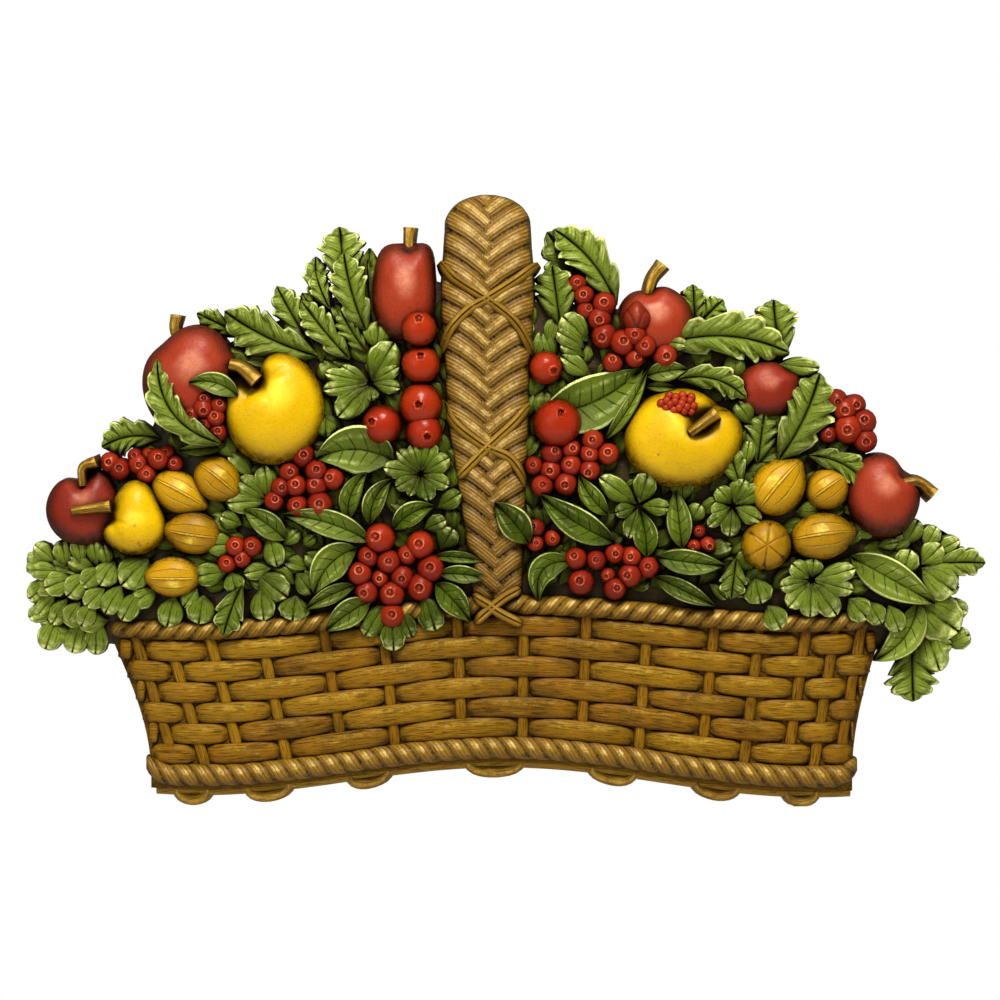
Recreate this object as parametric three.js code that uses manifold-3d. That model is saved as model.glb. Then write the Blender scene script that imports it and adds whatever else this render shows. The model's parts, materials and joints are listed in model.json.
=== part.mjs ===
// Decorative wall plaque: a basket of fruit, nuts, berries and leaves, cast in one piece.
// Millimetres. X runs right, Z up, and the front faces -Y. The flat back lies on the plane
// Y = 0, and the origin is on it at the middle of the outline, behind the foot of the handle.
// Every form is a raised shape whose walls run straight back to the wall, as a one-sided
// mould leaves them, so the casting has no undercut and no hollow.

import * as THREE from "three";
import { mergeVertices } from "three/addons/utils/BufferGeometryUtils.js";
import Module from "manifold-3d";

const wasm = await Module();
wasm.setup();

// Driving dimensions
const WIDTH = 574; // over the leaf tips at both ends
const HEIGHT = 366; // top of the handle to the lowest loop under the basket
const EDGE_RISE = 12; // how far the foliage stands off the wall at the outline
const CROWN_RISE = 36; // and at the middle of the heap
const THINNING = 0.9; // how far a face may move when the joined mesh is thinned
const BURIED = 3; // how far each form runs on behind the wall plane before the back is cut flat
const DRAFT = 0.06; // outward slope of the side walls, as a share of their height

const BASKET_EDGE_RISE = 9; // basket front off the wall at its two ends
const BASKET_CROWN_RISE = 32; // and in the middle
const BASKET_HALF = 236; // half width at which the front would meet its edge rise
const RIM_Z = -61.7; // rim rope at the middle of the basket
const ROW_PITCH = 12.1; // one row of weaving
const ROW_COUNT = 6;
const ARCH_DROP = 16.6; // how far the bottom row falls from the middle to the ends
const ARCH_HALF = 185; // half width of that arch
const ROW_TILT = 0.013; // the rim sits a little higher on the right
const STAKE_LEAN = 0.00145; // stakes close up towards the foot, per millimetre below the rim
const STAKES = [-216, -201, -176, -145, -107, -72, -28, 11, 48, 84, 124, 151, 179, 196, 211];
const STAKE_WIDTH = 6.5;
const STRIP_WIDTH = 11;
const STRIP_RISE = 3.6; // a strip over a stake, off the basket's own surface
const STAKE_RISE = 2.4; // a stake where it shows between two strips
const ROPE_WIDTH = 13;
const ROPE_RISE = 7;
const ROPE_GROOVE = 2.6; // depth of the groove between two strands
const STRAND_PITCH = 11; // along a rope
const LOOP_DROP = 7; // how far a loop of the foot binding hangs

const HANDLE_X = -10.4; // middle of the handle at its top
const HANDLE_LEAN = 0.052; // how far it leans to the right below HANDLE_BEND, per millimetre
const HANDLE_BEND = 60;
const HANDLE_TOP = 183;
const HANDLE_FOOT = -62;
const BRAID_PITCH = 14.4; // one strand of the handle's braid
const BRAID_GROOVE = 3.5;
const CHEVRON_DEPTH = 20; // how far the strands run down from the edge to the middle
const CANE_WIDTH = 6.5;

// Layout of the heap. A leaf is [kind, lobes a side, base x, base z, tip x, tip z, width, bow, lift]:
// bow is how far its midrib curves to the left of the way from base to tip, and lift is how far it
// stands above the heap.
const LEAVES = [
  // sprays above the fruit on the left
  ["oak", 2, -95, 128, -99, 164, 24, 0, -1],
  ["oak", 3, -82, 100, -96, 148, 20, 2, 6],
  ["oak", 2, -78, 98, -82, 144, 12, 1, 1],
  ["oak", 1, -104, 114, -113, 137, 11, 1, 3],
  ["oak", 2, -107, 114, -113, 146, 13, 2, -2],
  ["bay", 0, -84, 128, -81, 151, 11, -1, -1],
  ["oak", 2, -114, 92, -136, 128, 16, 1, 1],
  ["oak", 3, -92, 84, -121, 119, 16, 1, 5],
  ["oak", 3, -82, 88, -98, 114, 13, 1, 3],
  ["oak", 3, -111, 86, -167, 113, 24, 3, 4],
  ["oak", 2, -156, 99, -184, 112, 12, 0, -2],
  ["petal", 0, -76, 90, -75, 107, 15, 0, 4],
  // leaves round the left apple
  ["oak", 3, -168, 34, -206, 84, 17, 12, 17],
  ["bay", 0, -158, 62, -187, 70, 12, -4, 19],
  ["bay", 0, -166, 33, -194, 30, 9, 0, 3],
  ["oak", 3, -205, 37, -240, 32, 19, -4, 1],
  ["bay", 0, -66, 24, -112, 25, 27, -6, 5],
  // bay leaves at the foot of the left side
  ["bay", 0, -93, -12, -82, 17, 12, 4, 4],
  ["bay", 0, -80, -14, -67, 13, 12, 4, 5],
  ["bay", 0, -66, -17, -42, -3, 13, 3, 5],
  ["bay", 0, -130, -23, -155, -5, 14, -1, 5],
  ["bay", 0, -80, -24, -131, -8, 15, -3, 6],
  ["bay", 0, -88, -28, -113, -55, 19, -5, 6],
  ["bay", 0, -89, -50, -118, -64, 10, -1, 7],
  ["bay", 0, -80, -59, -106, -77, 15, -1, 8],
  ["petal", 0, -72, -62, -83, -80, 12, 0, 7],
  ["petal", 0, -67, -68, -66, -89, 13, 0, 7],
  ["petal", 0, -48, -56, -41, -77, 14, 0, 6],
  ["bay", 0, -41, -49, -21, -71, 15, 1, 8],
  ["bay", 0, -39, -43, -10, -46, 10, 1, 7],
  ["bay", 0, -42, -33, -12, -36, 7, 1, 5],
  ["petal", 0, -38, -29, -31, -16, 12, 0, 4],
  // scalloped leaves between the nuts and the berries
  ["petal", 0, -140, 2, -143, 21, 12, 0, 4],
  ["petal", 0, -142, 2, -159, 13, 12, 0, 4],
  ["petal", 0, -142, 0, -165, -1, 12, 0, 4],
  ["petal", 0, -165, -42, -185, -45, 12, 0, 4],
  ["petal", 0, -140, -20, -135, -39, 11, 0, 4],
  ["petal", 0, -147, -44, -129, -57, 15, 0, 5],
  ["oak", 1, -156, -50, -167, -80, 16, -1, 6],
  ["petal", 0, -179, -56, -182, -73, 15, 0, 5],
  ["petal", 0, -145, -52, -143, -71, 13, 0, 5],
  ["petal", 0, -124, -56, -126, -71, 16, 0, 6],
  ["petal", 0, -207, -52, -222, -61, 12, 0, 5],
  ["petal", 0, -196, -56, -201, -75, 13, 0, 5],
  // fern at the left end
  ["petal", 0, -262, -39, -264, -23, 11, 0, 1],
  ["petal", 0, -268, -36, -281, -26, 9, 0, 0],
  ["petal", 0, -266, -42, -284, -41, 10, 0, 1],
  ["petal", 0, -258, -46, -275, -52, 13, 0, 3],
  ["petal", 0, -248, -44, -261, -57, 13, 0, 4],
  ["petal", 0, -232, -36, -241, -50, 13, 0, 5],
  ["petal", 0, -212, -34, -228, -50, 17, 0, 6],
  ["petal", 0, -272, -49, -285, -59, 12, 0, 0],
  ["petal", 0, -238, -52, -250, -63, 11, 0, 5],
  ["petal", 0, -228, -50, -238, -67, 11, 0, 6],
  ["petal", 0, -218, -54, -228, -71, 11, 0, 6],
  ["petal", 0, -268, -55, -280, -69, 9, 0, 1],
  ["petal", 0, -261, -58, -271, -74, 10, 0, 2],
  ["petal", 0, -268, -70, -275, -89, 13, 0, 0],
  ["petal", 0, -254, -72, -259, -91, 13, 0, 0],
  ["petal", 0, -243, -70, -245, -92, 12, 0, 0],
  // sprays right of the handle
  ["oak", 2, 33, 104, 28, 140, 23, 0, 1],
  ["petal", 0, 49, 95, 34, 110, 14, 0, 5],
  ["petal", 0, 47, 91, 31, 101, 11, 0, 4],
  ["petal", 0, 51, 74, 33, 86, 10, 0, 4],
  ["oak", 2, 58, 116, 25, 161, 25, -1, -9],
  ["oak", 3, 66, 117, 29, 162, 23, -5, 3],
  ["bay", 0, 20, 50, 82, 79, 30, -6, 3],
  ["bay", 0, 60, 37, 84, 77, 8, -2, 8],
  ["oak", 2, 113, 104, 112, 129, 14, 0, -1],
  ["oak", 2, 116, 106, 130, 120, 14, 0, -1],
  ["oak", 3, 92, 92, 169, 88, 25, 8, 5],
  ["oak", 3, 165, 84, 160, 120, 25, 1, 1],
  ["bay", 0, 84, 74, 108, 78, 12, 1, 7],
  ["oak", 2, 102, 72, 143, 61, 15, 6, 8],
  ["oak", 3, 162, 24, 187, 76, 28, -3, 5],
  ["oak", 2, 150, 22, 154, 53, 18, 0, 1],
  ["petal", 0, 146, 46, 138, 59, 11, 0, 4],
  ["oak", 1, 140, 8, 132, 32, 14, 0, 5],
  ["oak", 3, 180, 27, 219, 4, 15, 6, 6],
  ["bay", 0, 105, -28, 101, 6, 14, 0, 5],
  // bay leaves at the foot of the right side
  ["bay", 0, 14, -25, -6, -1, 17, -1, 5],
  ["bay", 0, 65, -24, 21, 4, 17, 3, 7],
  ["bay", 0, 61, -8, 44, 15, 12, 2, 6],
  ["bay", 0, 84, -33, 80, -6, 14, -1, 6],
  ["bay", 0, 40, -36, 20, -59, 15, -10, 6],
  ["bay", 0, 90, -33, 130, -38, 14, -1, 8],
  ["bay", 0, 89, -45, 124, -62, 11, 0, 8],
  ["oak", 1, 137, -34, 134, -58, 15, 0, 6],
  ["petal", 0, 148, -46, 152, -61, 15, 0, 5],
  ["petal", 0, 156, -62, 164, -76, 13, 0, 6],
  // spray at the right end
  ["bay", 0, 205, -33, 256, -61, 21, 0, 5],
  ["petal", 0, 238, -26, 246, -11, 11, 0, 1],
  ["petal", 0, 250, -28, 257, -15, 10, 0, 1],
  ["petal", 0, 236, -44, 241, -29, 13, 0, 5],
  ["petal", 0, 248, -38, 260, -26, 13, 0, 3],
  ["oak", 1, 254, -38, 287, -37, 15, 1, 2],
  ["petal", 0, 248, -40, 268, -54, 21, 0, 4],
  ["petal", 0, 204, -58, 216, -70, 13, 0, 6],
  ["petal", 0, 216, -60, 224, -73, 11, 0, 6],
  ["petal", 0, 228, -62, 235, -78, 11, 0, 6],
  ["bay", 0, 246, -60, 221, -95, 18, 6, 4],
  ["petal", 0, 246, -60, 271, -78, 24, 0, 3],
  ["petal", 0, 250, -72, 260, -102, 16, 0, 1],
  ["oak", 2, 243, -84, 244, -120, 27, 0, 0],
];

// A rosette is its centre x, z and lift, then one petal a row: tip x, tip z and width.
const ROSETTES = [
  [[-80, 70, 6],
    [-66, 94, 19], [-63, 80, 10], [-62, 67, 9], [-79, 59, 9], [-87, 51, 8],
    [-99, 50, 17], [-108, 66, 10], [-107, 76, 9], [-97, 80, 7]],
  [[-50, 16, 6],
    [-43, 35, 12], [-55, 34, 9], [-64, 30, 10], [-72, 20, 11], [-65, 8, 10],
    [-57, 3, 8], [-45, 0, 12], [-33, 9, 10], [-33, 26, 12]],
  [[79, -3, 7],
    [56, 14, 13], [85, 17, 14], [98, -4, 10], [73, -22, 11], [65, -7, 9]],
  [[135, -3, 6],
    [142, 13, 13], [154, 9, 11], [126, 8, 11], [122, -8, 11], [120, -15, 8],
    [133, -21, 12], [152, -12, 11]],
  [[182, -47, 7],
    [170, -37, 12], [183, -34, 12], [163, -51, 10], [168, -63, 13],
    [181, -69, 14], [197, -68, 15], [207, -53, 11], [208, -40, 12]],
];

// Fruit: x, z, half width, half height, rise of the dome, lift, turn in degrees, then where the
// outline is pinched (degrees from the right, counter-clockwise) and by what share.
const FRUIT = [
  [-187, 71, 29, 33, 19, 0, 0, 100, 0.1],
  [-137, 54, 30, 33, 20, 2, -8, 116, 0.22],
  [-60, 122, 19, 31, 17, 2, 0, 270, 0.12],
  [89, 106, 22, 23, 15, -1, 0, 100, 0.08],
  [156, 66, 19, 17, 12, -1, 0, 270, 0],
  [225, 3, 22, 25, 17, 1, 12, 38, 0.14],
  [105, 37, 35, 30, 20, 1, 0, 50, 0.06],
  [-251, -5, 23, 23, 14, 0, 0, 100, 0.12],
  [-221, -13, 19, 18, 15, 4, 0, 165, 0.12],
  [-222, 4, 9, 10, 12, 5, 0, 0, 0],
  [78, 108, 9, 9, 10, 9, 0, 0, 0],
  [102, 57, 11.5, 7.5, 6, 17, -8, 0, 0],
];

// Nuts: x, z, half length, half width, turn in degrees and lift. Cherries and berries: x, z, radius
// and, for one that lies on other fruit, its own lift.
const NUTS = [
  [-194, 5, 17, 12, -20, 1],
  [-171, 13, 14.5, 13, 35, 2],
  [-185, -19, 16.5, 12.5, -5, 2],
  [-197, -45, 16, 12, 0, 3],
  [162, 8, 19, 15.5, 50, 1],
  [191.5, 7, 13, 12.5, 40, 1],
  [155, -26, 15, 15, 0, 2],
  [188, -21, 19, 14, 5, 3],
];
const CHERRIES = [
  [-51, 102, 10.5, 10], [-50, 81, 11.5, 3], [-50, 57, 13], [-73, 45, 12], [-48, 41, 11],
  [24, 79, 10], [31, 46, 14.5],
];
const BERRIES = [
  [-178, 60, 5, 12], [-179, 55, 5.5, 12], [-170, 57, 5, 11], [-186, 51, 5, 11], [-172, 50, 5.5, 9],
  [-185, 45, 5, 8], [-178, 46, 5, 8], [-171, 41, 5.5, 6], [43, 129, 5], [47, 122, 5.5],
  [59, 117, 6.5], [48, 113, 5], [56, 108, 6.5], [59, 98, 7], [70, 94, 7, 5], [77, 99, 6, 9],
  [83, 92, 6, 8], [64, 82, 5.5], [77, 85, 5.5, 4], [95, 86, 6.5, 5], [197, 60, 6], [208, 57, 6],
  [202, 54, 7], [213, 47, 7], [204, 43, 8], [214, 36, 6.5], [192, 40, 5], [28, 28, 6],
  [39, 31, 5.5], [52, 36, 6], [50, 28, 5.5], [61, 28, 6], [17, 21, 5], [27, 18, 6], [39, 21, 6],
  [50, 18, 6], [22, 9, 6], [36, 10, 6.5], [18, -16, 5], [18, -25, 4.5], [28, -22, 4.5],
  [42, -34, 6], [54, -35, 5.5], [65, -31, 5.5], [75, -33, 5.5], [85, -39, 6], [61, -44, 4],
  [74, -44, 6.5], [45, -48, 7], [65, -52, 6], [-235, 23, 5.5], [-229, 19, 6], [-220, 27, 4],
  [-218, 22, 5.5], [-212, 28, 3.5], [-206, 25, 6], [-213, 16, 5.5], [-201, 29, 4], [-196, 22, 4.5],
  [-120, 27, 6.5], [-128, 17, 5.5], [-112, 18, 6], [-102, 13, 6], [-133, 8, 5.5], [-124, 9, 6],
  [-112, 9, 6], [-137, 0, 5.5], [-123, -3, 6], [-110, -2, 7], [-160, -27, 5.5], [-150, -27, 5.5],
  [-156, -34, 5], [-165, -37, 5], [-74, -22, 8], [-50, -26, 7.5], [-81, -33, 6], [-69, -36, 6.5],
  [-58, -32, 5.5], [-44, -40, 7.5], [-86, -43, 6.5], [-74, -46, 5], [-61, -45, 6.5],
  [-50, -51, 7.5], [-82, -54, 6.5], [-67, -55, 7], [-67, -68, 7], [115, -18, 3.5], [120, -26, 4.5],
  [112, -27, 4],
];

// Stems: width, lift over the heap, then the points of the way they run.
const STEMS = [
  [8, 8, [-191, 94], [-195, 103], [-196, 111]],
  [8, 23, [-163, 81], [-154, 79], [-143, 72]],
  [7.5, 12, [-57, 148], [-56.5, 163]],
  [9, 8, [85, 126], [90, 134], [95, 141]],
  [8, 4, [167, 80], [186, 80]],
  [8, 12, [232, 10], [247, 11], [255, 4]],
  [6, 23, [110, 42], [126, 53]],
  [6, 14, [-251, 7], [-251, 22], [-241, 24.5]],
  [4.5, 16, [-252, -5], [-231, -4]],
];

// Canes wrapped over the handle: half of each cross, then the end tucked under the rim.
const CANES = [
  [[-41, 142], [-20, 126], [0, 112], [10, 100], [17, 87]],
  [[-41, 86], [-33, 103], [-22, 113], [-9, 121], [24, 143]],
  [[-38, 58], [-31, 46], [-13, 33], [2, 26], [15, 8]],
  [[-30, 14], [-10, 32], [17, 59]],
  [[-20, -56], [-2, -67], [10, -73]],
];

// The heap under the leaves: at each x, its lowest and highest z.
const HEAP = [
  [-270, -78, -36], [-250, -84, 6], [-228, -86, 22], [-210, -88, 78], [-165, -88, 98],
  [-112, -88, 130], [-60, -88, 142], [0, -88, 128], [60, -88, 128], [125, -88, 106],
  [162, -88, 100], [205, -88, 52], [225, -88, 18], [240, -96, -14], [262, -88, -38],
];
const HEAP_Z = -20;
const HEAP_HALF = 290;
const HEAP_ABOVE = 185;
const HEAP_BELOW = 120;
const HEAP_SUNK = 3;

// Heights off the wall

const root = (v) => Math.sqrt(Math.max(0, v));

function heapRise(x, z) {
  const reach = z < HEAP_Z ? HEAP_BELOW : HEAP_ABOVE;
  const inside = 1 - (x / HEAP_HALF) ** 2 - ((z - HEAP_Z) / reach) ** 2;
  return EDGE_RISE + (CROWN_RISE - EDGE_RISE) * root(inside);
}

function basketRise(x) {
  return BASKET_EDGE_RISE + (BASKET_CROWN_RISE - BASKET_EDGE_RISE) * root(1 - (x / BASKET_HALF) ** 2);
}

function handleRise(z) {
  const roll = 46; // the top rolls back to the wall over this height
  const above = Math.max(0, z - (HANDLE_TOP - roll)) / roll;
  return 13 + 26 * root(1 - above ** 2);
}

function handleMiddle(z) {
  return HANDLE_X + HANDLE_LEAN * Math.max(0, HANDLE_BEND - z);
}

function handleHalf(z) {
  const crown = 17;
  const above = Math.max(0, z - (HANDLE_TOP - crown)) / crown;
  const up = Math.min(1, Math.max(0, (z - HANDLE_FOOT) / 130));
  const waist = 15.5 + 11.5 * up ** 2 * (3 - 2 * up) + 2 * Math.exp(-(((z - 125) / 28) ** 2));
  return 1 + (waist - 1) * root(1 - above ** 2);
}

// Height of the middle of weaving row `row`: -1 is the rim rope, ROW_COUNT the foot rope.
function rowZ(row, x) {
  const down = row + 1;
  const arch = (ARCH_DROP * (1 - Math.cos((Math.PI * x) / ARCH_HALF))) / 2;
  const level = 1 - down / ROW_COUNT;
  return RIM_Z - ROW_PITCH * down - arch * (1 - 0.22 * level) + ROW_TILT * x * level;
}

function basketSide(z, side) {
  const rimHalf = side < 0 ? 236 : 224;
  const footHalf = side < 0 ? 211 : 207;
  const depth = Math.min(1, Math.max(0, (-80 - z) / 82));
  return side * (rimHalf + (footHalf - rimHalf) * Math.sin((depth * Math.PI) / 2));
}

function stakeX(stake, z) {
  return STAKES[stake] * (1 + STAKE_LEAN * (z + 80));
}

// Building blocks

const WELD = 1e-4;

function manifold(positions, triangles) {
  const mesh = { numProp: 3, vertProperties: positions, triVerts: new Uint32Array(triangles) };
  return new wasm.Manifold(new wasm.Mesh(mesh));
}

// A closed body from loose triangle corners, turned to face outwards.
function closed(corners) {
  const welded = mergeVertices(new THREE.BufferGeometry().setFromPoints(corners), WELD);
  const index = welded.index.array;
  const kept = [];
  for (let i = 0; i < index.length; i += 3) {
    const [a, b, c] = index.subarray(i, i + 3);
    if (a !== b && b !== c && c !== a) kept.push(a, b, c);
  }
  const positions = welded.attributes.position.array;
  const body = manifold(positions, kept);
  return body.volume() > 0 ? body : manifold(positions, kept.reverse());
}

// A closed body through rings of equally many points, with fanned ends.
function loft(rings) {
  const corners = [];
  rings.slice(1).forEach((ring, i) => {
    const last = rings[i];
    ring.forEach((point, j) => {
      const k = (j + 1) % ring.length;
      corners.push(last[j], last[k], ring[k], last[j], ring[k], point);
    });
  });
  const first = rings[0];
  const end = rings.at(-1);
  for (let j = 1; j < first.length - 1; j += 1) {
    corners.push(first[0], first[j + 1], first[j], end[0], end[j], end[j + 1]);
  }
  return closed(corners);
}

function cornersOf(geometry) {
  const position = geometry.toNonIndexed().getAttribute("position");
  const corner = (_, i) => new THREE.Vector3().fromBufferAttribute(position, i);
  return Array.from({ length: position.count }, corner);
}

const at = (x, rise, z) => new THREE.Vector3(x, -rise, z);

// A bar along stations { x, z, nx, nz, half, edge, crown }: (nx, nz) is the unit vector across it,
// edge is its rise at both edges, and crown, where it has one, its rise along the middle.
function bar(stations) {
  return loft(
    stations.map(({ x, z, nx, nz, half, edge, crown }, i) => {
      const spread = DRAFT * edge;
      const ahead = spread * ((i === stations.length - 1) - (i === 0));
      const top = (reach, rise) => at(x + nx * reach, rise, z + nz * reach);
      const foot = (side) => {
        const reach = side * (half + (half ? spread : 0));
        return at(x + nx * reach + nz * ahead, -BURIED, z + nz * reach - nx * ahead);
      };
      const middle = crown === undefined ? [] : [top(0, crown)];
      return [foot(1), top(half, edge), ...middle, top(-half, edge), foot(-1)];
    }),
  );
}

// A bar along a curve: `form(t, x, z)` gives half, edge and crown at a share t of its length.
function along(curve, shares, form) {
  return bar(
    shares.map((t) => {
      const p = curve.getPoint(t);
      const way = curve.getTangent(t);
      return { x: p.x, z: p.y, nx: -way.y, nz: way.x, ...form(t, p.x, p.y) };
    }),
  );
}

function straight(x0, z0, x1, z1) {
  return new THREE.LineCurve(new THREE.Vector2(x0, z0), new THREE.Vector2(x1, z1));
}

function smooth(points) {
  return new THREE.SplineCurve(points.map(([x, z]) => new THREE.Vector2(x, z)));
}

function bowed(baseX, baseZ, tipX, tipZ, bow) {
  const base = new THREE.Vector2(baseX, baseZ);
  const tip = new THREE.Vector2(tipX, tipZ);
  const way = tip.clone().sub(base).normalize();
  const mid = base.clone().add(tip).multiplyScalar(0.5);
  mid.add(new THREE.Vector2(-way.y, way.x).multiplyScalar(2 * bow));
  return new THREE.QuadraticBezierCurve(base, mid, tip);
}

// A flat-sided boss: an outline of [x, z, rise] points, counter-clockwise, about a middle point.
function boss([midX, midZ, midRise], outline) {
  const middle = outline.map(() => at(midX, midRise, midZ));
  const edge = outline.map(([x, z, rise]) => at(x, rise, z));
  const foot = outline.map(([x, z, rise]) => {
    const out = new THREE.Vector2(x - midX, z - midZ).setLength(DRAFT * rise);
    return at(x + out.x, -BURIED, z + out.y);
  });
  return loft([foot, edge, middle]);
}

// Leaves: the corners of each kind down one side, as [share of the length, share of the half width].
// A blade of a long oak leaf has a tooth and a notch for each of its lobes.

const LONG_LEAF = 32; // shorter leaves have a single pair of corners
const RIBBED_WIDTH = 16; // narrower ones are flat, without a raised midrib
const BLADES = {
  bay: (long) => (long ? [[0.3, 0.95], [0.7, 0.85]] : [[0.48, 1]]),
  petal: () => [[0.72, 1]],
  oak: (long, lobes) => {
    const step = 1 / (lobes + 0.5);
    const lobe = (_, i) => [[(i + 0.7) * step, 1 - i * 0.1], [(i + 0.95) * step, 0.62]];
    return long ? Array.from({ length: lobes }, lobe).flat() : [[0.6, 1]];
  },
};

const FULLNESS = { bay: 1.08, petal: 1.2, oak: 1.25 }; // a leaf's width over the one in its row

function leaf([kind, lobes, baseX, baseZ, tipX, tipZ, width, bow, lift]) {
  const curve = bowed(baseX, baseZ, tipX, tipZ, bow);
  const long = Math.hypot(tipX - baseX, tipZ - baseZ) > LONG_LEAF;
  const blade = BLADES[kind](long, Math.min(lobes, 2));
  const stations = [[0, 0], ...blade, [1, 0]];
  return bar(
    stations.map(([t, open]) => {
      const p = curve.getPoint(t);
      const way = curve.getTangent(t);
      const edge = heapRise(p.x, p.y) + lift - 3 * (1 - t) ** 3 - 1.5 * t ** 4;
      const half = (open * width * FULLNESS[kind]) / 2;
      const crown = width < RIBBED_WIDTH ? undefined : edge + 0.12 * half;
      return { x: p.x, z: p.y, nx: -way.y, nz: way.x, half, edge, crown };
    }),
  );
}

// Petals in a ring: two corners at each tip and a notch before the next petal.
function rosette([[x, z, lift], ...petals]) {
  const level = heapRise(x, z) + lift;
  const turns = petals
    .map(([tipX, tipZ, width]) => ({
      angle: Math.atan2(tipZ - z, tipX - x),
      reach: Math.hypot(tipX - x, tipZ - z),
      half: width * 0.36,
    }))
    .sort((a, b) => a.angle - b.angle);
  const polar = (angle, reach, drop) => [
    x + reach * Math.cos(angle),
    z + reach * Math.sin(angle),
    level + drop,
  ];
  const outline = turns.flatMap(({ angle, reach, half }, i) => {
    const next = turns[(i + 1) % turns.length];
    const gap = (next.angle - angle + 2 * Math.PI) % (2 * Math.PI);
    const corner = Math.atan2(half, reach);
    const notch = 0.3 * Math.min(reach, next.reach) + gap * 2;
    return [
      polar(angle - corner, reach, 0.5),
      polar(angle + corner, reach, 0.5),
      polar(angle + gap / 2, notch, -1.5),
    ];
  });
  return boss([x, z, level - 1], outline);
}

// A domed form on drafted walls, with its level measured from the heap beside it.
function dome({ x, z, halfX, halfZ, rise, lift, turn = 0, pinch = [0, 0], sides, steps }) {
  const level = heapRise(x, z) + lift - 2;
  const angle = THREE.MathUtils.degToRad(turn);
  const pinchAt = THREE.MathUtils.degToRad(pinch[0]);
  const ring = (share, height, spread = 0) =>
    Array.from({ length: sides }, (_, i) => {
      const a = (i / sides) * 2 * Math.PI;
      const off = Math.atan2(Math.sin(a + angle - pinchAt), Math.cos(a + angle - pinchAt));
      const r = share * (1 - pinch[1] * Math.exp(-((off / 0.45) ** 2)));
      const u = (halfX + spread) * r * Math.cos(a);
      const v = (halfZ + spread) * r * Math.sin(a);
      return at(
        x + u * Math.cos(angle) - v * Math.sin(angle),
        height,
        z + u * Math.sin(angle) + v * Math.cos(angle),
      );
    });
  const caps = steps.map((degrees) => {
    const lean = THREE.MathUtils.degToRad(degrees);
    return ring(Math.cos(lean), level + rise * Math.sin(lean));
  });
  return loft([ring(1, -BURIED, DRAFT * level), ring(1, level), ...caps, ring(0, level + rise)]);
}

function fruit([x, z, halfX, halfZ, rise, lift, turn, pinchAt, share]) {
  const detail = halfX > 15 ? { sides: 14, steps: [35, 64] } : { sides: 8, steps: [45] };
  return dome({ x, z, halfX, halfZ, rise, lift, turn, pinch: [pinchAt, share], ...detail });
}

function nut([x, z, halfX, halfZ, turn, lift]) {
  return dome({ x, z, halfX, halfZ, rise: 0.9 * halfZ, lift: lift - 2, turn, sides: 10, steps: [45] });
}

function cherry([x, z, r, lift = 1]) {
  return dome({ x, z, halfX: r, halfZ: r, rise: r, lift, sides: 8, steps: [45] });
}

function berry([x, z, r, lift = 2]) {
  return dome({ x, z, halfX: r, halfZ: r, rise: r + 1, lift, sides: 6, steps: [] });
}

function stem([width, lift, ...points]) {
  const curve = points.length > 2 ? smooth(points) : straight(...points.flat());
  return along(curve, points.length > 2 ? [0, 0.5, 1] : [0, 1], (t, x, z) => {
    return { half: width / 2, edge: heapRise(x, z) + lift };
  });
}

function heap() {
  const columns = 3;
  return loft(
    HEAP.map(([x, low, high]) => {
      const front = Array.from({ length: columns }, (_, i) => {
        const z = low + ((high - low) * i) / (columns - 1);
        return at(x, heapRise(x, z) - HEAP_SUNK, z);
      });
      return [at(x, -BURIED, low), ...front, at(x, -BURIED, high)];
    }),
  );
}

// The basket

// How far row `row` stands off the basket's own surface at a stake: over it, or behind it with the
// stake showing.
function stands(row, stake) {
  return (stake + row) % 2 === 0 ? 0 : STRIP_RISE;
}

// The woven front: upright stations at each stake and at both its sides, where the strips turn
// under it, each with the two edges of every strip.
function basketBody() {
  const half = STAKE_WIDTH / 2;
  const turns = STAKES.flatMap((_, stake) => [-1, 0, 1].map((side) => ({ stake, side })));
  const station = (xAt, riseAt) => {
    const foot = rowZ(ROW_COUNT, xAt(-150)) - 4;
    const rim = rowZ(-1, xAt(-80));
    const rows = Array.from({ length: ROW_COUNT }, (_, i) => ROW_COUNT - 1 - i).flatMap((row) => {
      const z = rowZ(row, xAt(-80));
      return [-1, 1].map((edge) => {
        const height = z + (edge * STRIP_WIDTH) / 2;
        return at(xAt(height), riseAt(row, xAt(height)), height);
      });
    });
    const edge = basketRise(xAt(-80));
    return [
      at(xAt(foot), -BURIED, foot),
      at(xAt(foot), edge, foot),
      ...rows,
      at(xAt(rim), edge, rim),
      at(xAt(rim), -BURIED, rim),
    ];
  };
  const side = (way) => station((z) => basketSide(z, way), (row, x) => basketRise(x) - 1);
  const inner = turns.slice(1, -1).map(({ stake, side: turn }) =>
    station(
      (z) => stakeX(stake, z) + turn * (half + 2.5),
      (row, x) => {
        const under = stands(row, stake) === 0;
        const shown = under && turn === 0 ? STAKE_RISE : stands(row, stake);
        return basketRise(x) + shown;
      },
    ),
  );
  return loft([side(-1), ...inner, side(1)]);
}

// A laid rope along row `row`: slantwise stations, by turns on the crown of a strand and in the
// groove before the next. Slant is +1 or -1.
function rope(row, left, right, slant) {
  const count = 2 * Math.round((right - left) / STRAND_PITCH);
  const lean = slant * STRAND_PITCH * 0.5;
  return loft(
    Array.from({ length: count + 1 }, (_, i) => {
      const x = left + ((right - left) * i) / count;
      const groove = i % 2 === 0 ? ROPE_GROOVE : 0;
      const half = ROPE_WIDTH / 2 - groove * 0.5;
      const crown = basketRise(x) + ROPE_RISE - groove;
      const z = rowZ(row, x);
      const point = (side, rise) => at(x + side * lean, rise, z + side * half);
      return [point(-1, -BURIED), point(-1, crown), point(1, crown), point(1, -BURIED)];
    }),
  );
}

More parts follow.
